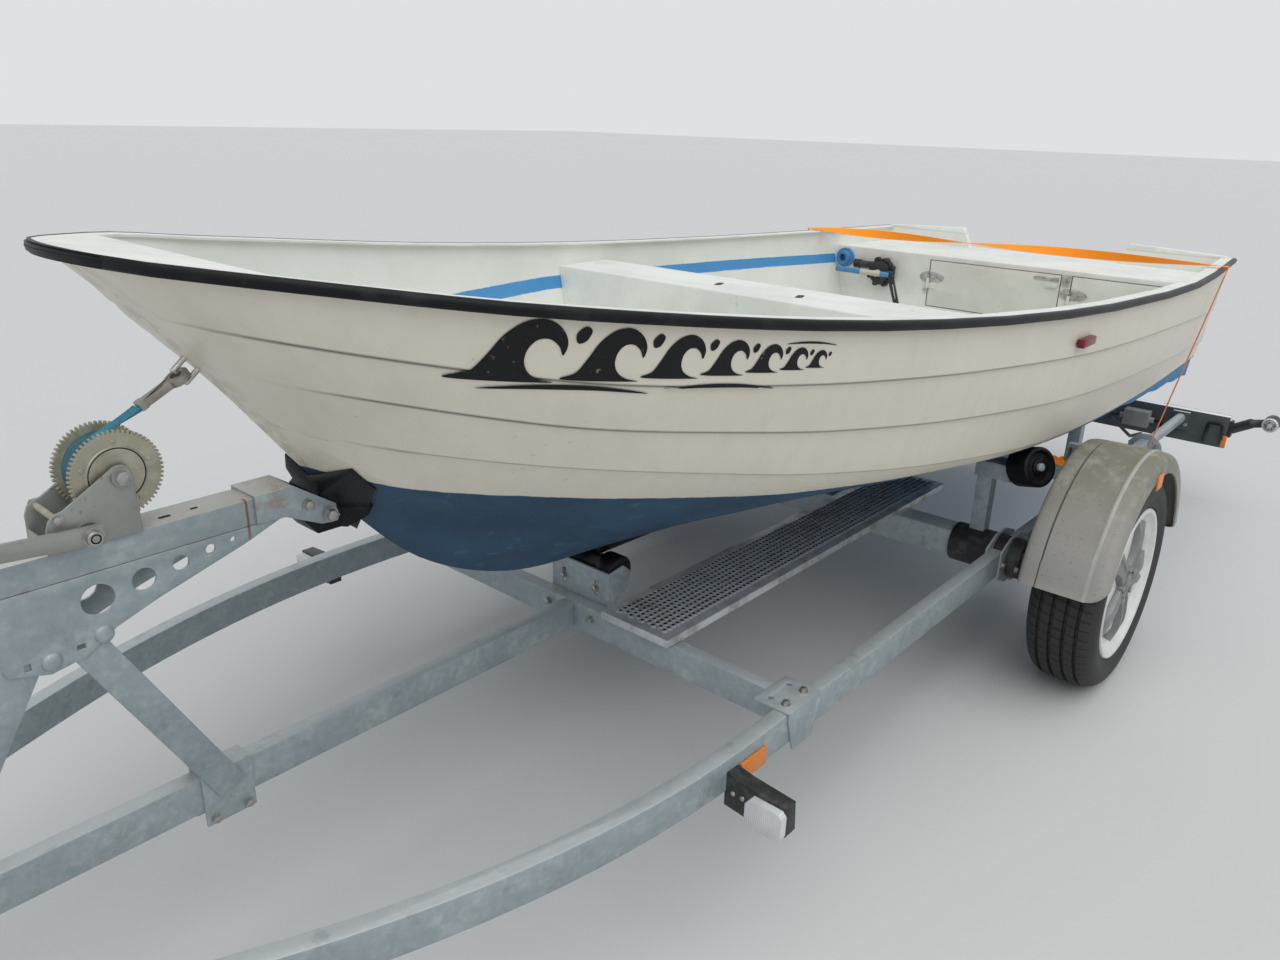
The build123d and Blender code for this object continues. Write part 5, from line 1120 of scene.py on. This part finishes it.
# Reflectors: moulded amber plastic on the rails and guards. The prisms pressed into its back show as
# small facets of two shades.
amber = Finish("amber_lens", (0.75, 0.2, 0.015), 0.2)
facet = amber.node("TexChecker", None, {
    "Vector": amber.where(), "Scale": 420.0, "Color1": (0.85, 0.27, 0.02), "Color2": (0.7, 0.17, 0.01)},
    out="Color")
spread = amber.noise(50, 3)
amber.set(Base_Color=facet, Roughness=0.16 + spread * 0.15)
amber.bump(amber.parts_of(facet)[0] + spread, 0.4, 0.0005)
dress("reflectors", amber, 0.8)


# Winch: pressed steel side plates in grey paint, two khaki toothed discs with an embossed ring and
# small dimples, a flat cranked handle on a socket-head bolt, and a spacer across the front.
khaki = Finish("khaki_zinc", (0.3, 0.28, 0.2), 0.42, 0.55)
wear = khaki.noise(45, 4, 0.6)
blotch = khaki.noise(14, 4, 0.6)
passivated = khaki.mix(blotch, (0.31, 0.29, 0.215), (0.4, 0.385, 0.3))
khaki.set(Base_Color=khaki.mix(wear.over(0.56, 0.1) * 0.5, passivated, (0.52, 0.5, 0.42)),
          Roughness=0.34 + wear * 0.25)
khaki.bump(wear, 0.15, 0.0004)
grey_paint = Finish("winch_grey", (0.33, 0.34, 0.33), 0.42, 0.4)
wear = grey_paint.noise(38, 5, 0.65)
chip = grey_paint.noise(70, 4, 0.6)
painted = grey_paint.mix(wear, (0.36, 0.37, 0.35), (0.27, 0.275, 0.25))
grey_paint.set(Base_Color=grey_paint.mix(chip.over(0.68, 0.04) * 0.6, painted, (0.15, 0.11, 0.07)),
               Roughness=0.34 + wear * 0.22)
grey_paint.bump(wear + chip * 0.5, 0.15, 0.0005)
dress("winch_drum", khaki, 0.5)
dress("winch_crank", grey_paint, 1.8)


def slab(work, outline, low, high):
    """A prism between two y values from an outline of (x, z) points, all in millimetres."""
    joined(work, [corners_at(work, [(x, y, z) for x, z in outline]) for y in (low, high)])


SHAFT = (1872, 0, 815)
SPACER = (1951, 0, 779)
CRANK = (1920, 0, 752)
BASE_Z, CHEEK_IN, CHEEK_OUT = 735, 33, 37
work = bmesh.new()
cheek = [(1854, BASE_Z), (1966, BASE_Z), (1965, 768), (1961, 779), (1953, 786), (1944, 788)]
cheek += [(SHAFT[0] + 15 * math.cos(math.radians(turn)), SHAFT[2] + 15 * math.sin(math.radians(turn)))
          for turn in (62, 85, 108, 131, 155, 180)]
slab(work, cheek, CHEEK_IN, CHEEK_OUT)
slab(work, cheek, -CHEEK_OUT, -CHEEK_IN)
slab(work, [(1854, BASE_Z), (1966, BASE_Z), (1966, BASE_Z + 4), (1854, BASE_Z + 4)], -CHEEK_IN, CHEEK_IN)
slab(work, [(1961, BASE_Z + 4), (1966, BASE_Z + 4), (1965, 752), (1961, 750)], -CHEEK_IN, CHEEK_IN)
fit("winch_cheeks", outward(work), [grey_paint], "winch_grey", "winch_frame", rounding=1.3, smooth=38)
work = bmesh.new()
for way in BOTH:
    lathe(work, [(29, 38), (30, 37), (30, 35.8), (29, 35.4)], SHAFT, 72, 0, way)
    # A thin band just inside each embossed ring is painted near black as shade
    lathe(work, [(28.9, 35.4), (29.15, 35.3), (29.15, 33.9), (28.9, 33.8)], SHAFT, 72, 1, way)
    for turn in (math.radians(72 * k + 20) for k in range(5)):
        lathe(work, [(29, 3.2), (29.9, 2.6), (30.2, 1.2), (30.2, 0.1), (29, 0.1)],
              (SHAFT[0] + 43 * math.cos(turn), 0, SHAFT[2] + 43 * math.sin(turn)), 16, 0, way)
    lathe(work, [(37, 11.5), (38.6, 11), (38.6, 0.2), (37, 0.2)], SHAFT, 32, 0, way)
lathe(work, [(-34, 8), (34, 8), (34, 0.5), (-34, 0.5)], SHAFT, 32)
lathe(work, [(-34, 4.5), (34, 4.5), (34, 0.5), (-34, 0.5)], SPACER, 24)
fit("winch_disc_rings", outward(work), [khaki, hole_shade], "zinc_yellow", smooth=30)
bolted("winch_nuts", a_side([((SHAFT[0], 38.6, SHAFT[2]), OUT, 19)])
       + a_side([((SPACER[0], CHEEK_OUT, SPACER[2]), OUT, 12)])
       + a_side([((x, 20, BASE_Z + 4), UP, 11) for x in (1866, 1940)]), "hex", plated)
work = bmesh.new()
for profile in ([(52, 0.5), (52, 13), (54, 13), (54, 9.6), (61, 9.6), (62, 8.8), (62, 4.6), (57.5, 4.2),
                 (57.5, 0.5)], [(37, 0.5), (37, 15), (39.5, 15), (39.5, 9), (46, 9), (46, 0.5)]):
    lathe(work, profile, CRANK, 32)
fit("crank_bolt", outward(work), [plated], "stainless", smooth=30)
# Two slots in the top of the post's tube, between the winch and the bow block, are flat discs of painted
# shade
work = bmesh.new()
for x, y, long, high in ((1815, 8, 8.5, 3.6), (1774, 6, 5.5, 3)):
    corners = []
    for turn in (2 * math.pi * k / 20 for k in range(20)):
        reach = long - high if math.cos(turn) > 0 else high - long
        corners.append(work.verts.new(place(x + reach + high * math.cos(turn), y + high * math.sin(turn),
                                            BASE_Z + 0.3)))
    work.faces.new(corners)
fit("tube_slots", work, [hole_shade], "galvanised")


# Winch strap: blue-green polyester webbing wound on the drum between the discs. It leaves the top
# folded lengthways and is sewn round the bar of a forged snap hook, which holds the bow eye.
def webbing(name, pale, deep, rib):
    """Woven strap, ribbed across its length."""
    finish = Finish(name, pale, 0.75)
    along = finish.node("Attribute", {"attribute_name": "along"}, out="Fac")
    weave = (along * rib).sine()
    wear = finish.noise(50, 4, 0.6)
    finish.set(Base_Color=finish.mix(wear, finish.mix(weave.over(0.0, 0.7) * 0.4, pale, deep), deep),
               Roughness=0.62 + wear * 0.2)
    return finish.bump(weave + wear, 0.35, 0.0006)


def ribbon(work, lines, thick):
    """Skin a strap through cross lines, each a row of points in millimetres, and give it a body."""
    rows = [corners_at(work, line) for line in lines]
    faces = []
    for a, b in zip(rows, rows[1:]):
        for j in range(len(a) - 1):
            faces.append(work.faces.new((a[j], a[j + 1], b[j + 1], b[j])))
    bmesh.ops.recalc_face_normals(work, faces=faces)
    bmesh.ops.solidify(work, geom=faces, thickness=thick / 1000)


def measured(mesh, way):
    """Write each point's place along a line to the mesh, for the weave."""
    along = mesh.attributes.new("along", "FLOAT", "POINT")
    for k, corner in enumerate(mesh.vertices):
        along.data[k].value = corner.co.dot(way)
    return mesh


# The coil wound between the discs is a darker teal copy of the cyan strap: painted shade
shaded_teal = webbing("teal_webbing_shaded", (0.07, 0.21, 0.26), (0.02, 0.08, 0.1), 2400)
cyan = webbing("cyan_webbing", (0.09, 0.37, 0.47), (0.02, 0.16, 0.24), 2400)
work = bmesh.new()
coils = [(-23.5 + 47 * k / 8, 45.5 + 1.1 * math.sin(k * 2.3)) for k in range(9)]
lathe(work, coils + [(23.5, 21), (-23.5, 21)], SHAFT, 90)
wound = set(work.faces)
STRAP_START, STRAP_LONG = Vector((1824, 0, 887.5)), 90
slope, lift = Vector((0.887, 0, -0.462)), Vector((0.462, 0, 0.887))
for layer, lean, wide_end in ((0.0, 4.4, 13.0), (-3.0, -4.4, 12.0)):
    lines = []
    for t in (step / 16 for step in range(17)):
        middle = STRAP_START + slope * (STRAP_LONG * t) + lift * (layer + 3.5 * math.sin(math.pi * t) * t)
        half_wide = 5.6 + (wide_end - 5.6) * t**1.5
        fold = 5 * (1 - t)**1.3 + 0.8
        off = lean * (1 - t) * 1.6
        lines.append([tuple(middle + Vector((0, off + across * half_wide, 0))
                            + lift * (fold * (abs(across) - 0.4))) for across in (-1, -0.5, 0, 0.5, 1)])
    ribbon(work, lines, 1.6)
for face in work.faces:
    face.material_index = 0 if face in wound else 1
fit_mesh("winch_webbing", measured(finished("winch_webbing", outward(work), [shaded_teal, cyan], smooth=50), slope),
         ["winch_strap"])
forged = mottled("forged_hook", (0.42, 0.4, 0.35), 0.4, 0.7, noise=(60, 4, 0.6), gloss=(0.32, 0.25),
                 colours=((0.46, 0.44, 0.39), (0.24, 0.22, 0.18)), lumps=(0.2, 0.0005))
work = merged("winch_hook")
BAR_END, BAR_HALF = 0.0165, 0.0095
for corner in work.verts:
    if abs(corner.co.y) > BAR_END:
        corner.co.y = math.copysign(BAR_HALF, corner.co.y)
fit("forged_hook", work, [forged], "stainless", "winch_hook", rounding=2.2)

# Lashing: orange ratchet webbing pulled tight across the stern, twisted so that it shows edge-on at
# its ends and middle, and taut cord of the same colour from each gunwale to the rear rail.
orange = webbing("orange_webbing", (1.0, 0.37, 0.012), (1.0, 0.27, 0.006), 2600)
# The webbing is given a faint orange glow: painted light, as it is no lamp
orange.set(Emission_Color=(1.0, 0.22, 0.0), Emission_Strength=0.2)
# x and y of the strap's ends over the gunwale, to starboard and to port
LASHED = ((-890, -684.2), (-1032, 670.4))
HALF_WIDE, FIRST_TWIST = 13.5, 0.44
work = bmesh.new()
lines = []
start, end = Vector((-890, -684, 887.6)), Vector((-1032, 670.4, 886))
run = (end - start).normalized()
side_way = Vector(UP).cross(run).normalized()
for t in (step / 96 for step in range(97)):
    twist = t / FIRST_TWIST if t < FIRST_TWIST else 1 + (t - FIRST_TWIST) / (1 - FIRST_TWIST)
    middle = start.lerp(end, t) + Vector((0, 0, 2 - 3 * math.sin(math.pi * t)))
    across_way = side_way * math.cos(math.pi * twist) + Vector(UP) * math.sin(math.pi * twist)
    lines.append([tuple(middle + across_way * (HALF_WIDE * part)) for part in (-1, -0.5, 0, 0.5, 1)])
ribbon(work, lines, 1.4)


def cord_between(work, points, radius):
    """A taut round cord through some points, in millimetres."""
    rings = []
    for k, spot in enumerate(points):
        way = (points[min(k + 1, len(points) - 1)] - points[max(k - 1, 0)]).normalized()
        first = way.cross(Vector((1, 0.2, 0.1))).normalized()
        second = way.cross(first)
        rings.append(corners_at(work, [
            spot + first * (radius * math.cos(turn)) + second * (radius * math.sin(turn))
            for turn in (math.pi * j / 4 for j in range(8))]))
    joined(work, rings)


CORD_PARTS = 24
for x, y in LASHED:
    top, foot = Vector((x, y, 886)), Vector((x, math.copysign(562.8, y), 300))
    straight = [top.lerp(foot, k / CORD_PARTS) for k in range(CORD_PARTS + 1)]
    cord_between(work, straight, 1.9)
    cord_between(work, [spot + Vector((5 * math.sin(math.pi * k / CORD_PARTS) + 2.5, 0, 0))
                        for k, spot in enumerate(straight)], 1.3)
for face in work.faces:
    if face.calc_center_median().z < 0.872:
        face.material_index = 1
# The strap's spare length lies in three flat rolls on the rear cross tube
for y, z in ((398, 316), (426, 320), (454, 324)):
    shape = [(math.cos(math.pi * k / 4), math.sin(math.pi * k / 4)) for k in range(8)]
    joined(work, [corners_at(work, [(x + 2 * across, y + 15 * across, z + 11 * up) for across, up in shape])
                  for x in (-606, -640)])
salmon = webbing("salmon_cord", (0.9, 0.33, 0.2), (0.72, 0.2, 0.1), 3000)
mesh = finished("stern_lashing", outward(work), [orange, salmon], smooth=50)
fit_mesh("stern_lashing", measured(mesh, run), ["lashing_strap"])


# Light board: folded dark green-grey sheet with a pale top edge, on two tubes. Lamp clusters face
# aft, round clearance lamps stand out on rubber stalks, and a grey box joins the cables.
board = Finish("light_board", (0.05, 0.065, 0.065), 0.45)
stain = board.noise(18, 5, 0.65)
top_face = board.facing()[2].over(0.6, 0.15)
board_colour = board.mix(stain, (0.042, 0.06, 0.062), (0.085, 0.1, 0.1))
board.set(Base_Color=board.mix(top_face, board_colour, (0.85, 0.86, 0.84)), Roughness=0.36 + stain * 0.25)
board.bump(stain, 0.15, 0.0006)
dress("light_board", board, 1.2)
box_grey = mottled("box_grey", (0.3, 0.305, 0.29), 0.5, noise=(40, 4, 0.6), gloss=(0.44, 0.2),
                   colours=((0.34, 0.345, 0.33), (0.2, 0.2, 0.185)), lumps=(0.15, 0.0005))
dress("junction_box", box_grey, 4)
clear = Finish("clear_lens", (0.72, 0.74, 0.75), 0.12, 0.25)
prism = clear.node("TexWave", {"wave_type": "BANDS", "bands_direction": "Y"},
                   {"Vector": clear.where(), "Scale": 95.0})
spread = clear.noise(30, 3)
clear.set(Base_Color=clear.mix(prism * 0.3 + spread * 0.4, (0.86, 0.87, 0.87), (0.34, 0.35, 0.36)),
          Roughness=0.08 + spread * 0.15)
clear.bump(prism, 0.5, 0.001)
# From the middle out, the lens is red, clear, red again and amber; its top is clear all along
CLEAR_FROM, CLEAR_TO, AMBER_FROM = 540, 600, 640
work = merged("rear_lamps")
for way in BOTH:
    for y in (CLEAR_FROM, CLEAR_TO, AMBER_FROM):
        cut(work, place(0, way * y, 0), (0, 1, 0))
for face in work.faces:
    reach = abs(face.calc_center_median().y) * 1000
    if face.normal.z > 0.9 or CLEAR_FROM < reach < CLEAR_TO:
        face.material_index = 2
    else:
        face.material_index = 1 if reach > AMBER_FROM else 0
fit("rear_lamp_lenses", work, [red, amber, clear], "red_lens", "rear_lamps", rounding=3)
work = bmesh.new()
for way in BOTH:
    slab(work, [(-1490, 226), (-1478, 226), (-1478, 268), (-1490, 268)], way * 689, way * 704)
fit("end_reflectors", outward(work), [amber], "amber_lens", rounding=1)
work = merged("stalk_lamps")
for face in work.faces:
    if abs(face.calc_center_median().y) > 0.79 and abs(face.normal.x) > 0.9:
        face.material_index = 1 if face.normal.x > 0 else 2
fit("clearance_lamps", work, [moulded, clear, red], "black_rubber", "stalk_lamps", rounding=2)
# Domed lenses of the clearance lamps: share of the rim's radius and how far each ring bulges
LENS_Y, LENS_Z, LENS_RADIUS = 820, 334, 23
DOME = [(1, 0), (0.86, 3), (0.62, 5), (0.3, 6.4)]
work = bmesh.new()
for way in BOTH:
    for x, bulge in ((-1484, 1), (-1536, -1)):
        rings = []
        for share, out in DOME:
            radius = LENS_RADIUS * share
            rings.append(corners_at(work, [
                (x + bulge * out, way * LENS_Y + radius * math.cos(turn), LENS_Z + radius * math.sin(turn))
                for turn in (math.pi * k / 16 for k in range(32))]))
        for a, b in zip(rings, rings[1:]):
            for j in range(32):
                face = work.faces.new((a[j], a[(j + 1) % 32], b[(j + 1) % 32], b[j]))
                face.material_index = 1 if bulge < 0 else 0 if a is rings[0] else 2
        work.faces.new(rings[-1]).material_index = 1 if bulge < 0 else 0
smoky = Finish("smoky_lens", (0.16, 0.15, 0.15), 0.12)
spread = smoky.noise(160, 3)
smoky.set(Base_Color=smoky.mix(spread.over(0.5, 0.1), (0.12, 0.115, 0.115), (0.42, 0.4, 0.4)))
smoky.bump(spread, 0.3, 0.0008)
fit("clearance_lenses", outward(work), [clear, red, smoky], "clear_lens", smooth=60)

# Front position lamps: black moulded arms bolted to the rails, each with a clear chamfered lens that
# looks ahead and two screws in its face.
LENS_X = 1251.5
work = merged("front_lamps")
for face in work.faces:
    face.material_index = 1 if face.calc_center_median().x > place(LENS_X, 0, 0).x else 0
fit("position_lamps", work, [moulded, clear], "black_plastic", "front_lamps", rounding=2.2)
bolted("lamp_screws", a_side([((1251, 560 + y, 264), FORE, 9) for y in (12, 30)]), "dome", plated)

# Coupling and jockey wheel: a pressed ball coupling in grey paint at the tip of the drawbar, and a
# solid rubber wheel on a swivelling fork whose tube is clamped beside it.
dress("coupling_head", grey_paint, 3)
dress("jockey_wheel", rubber, 1, 30)
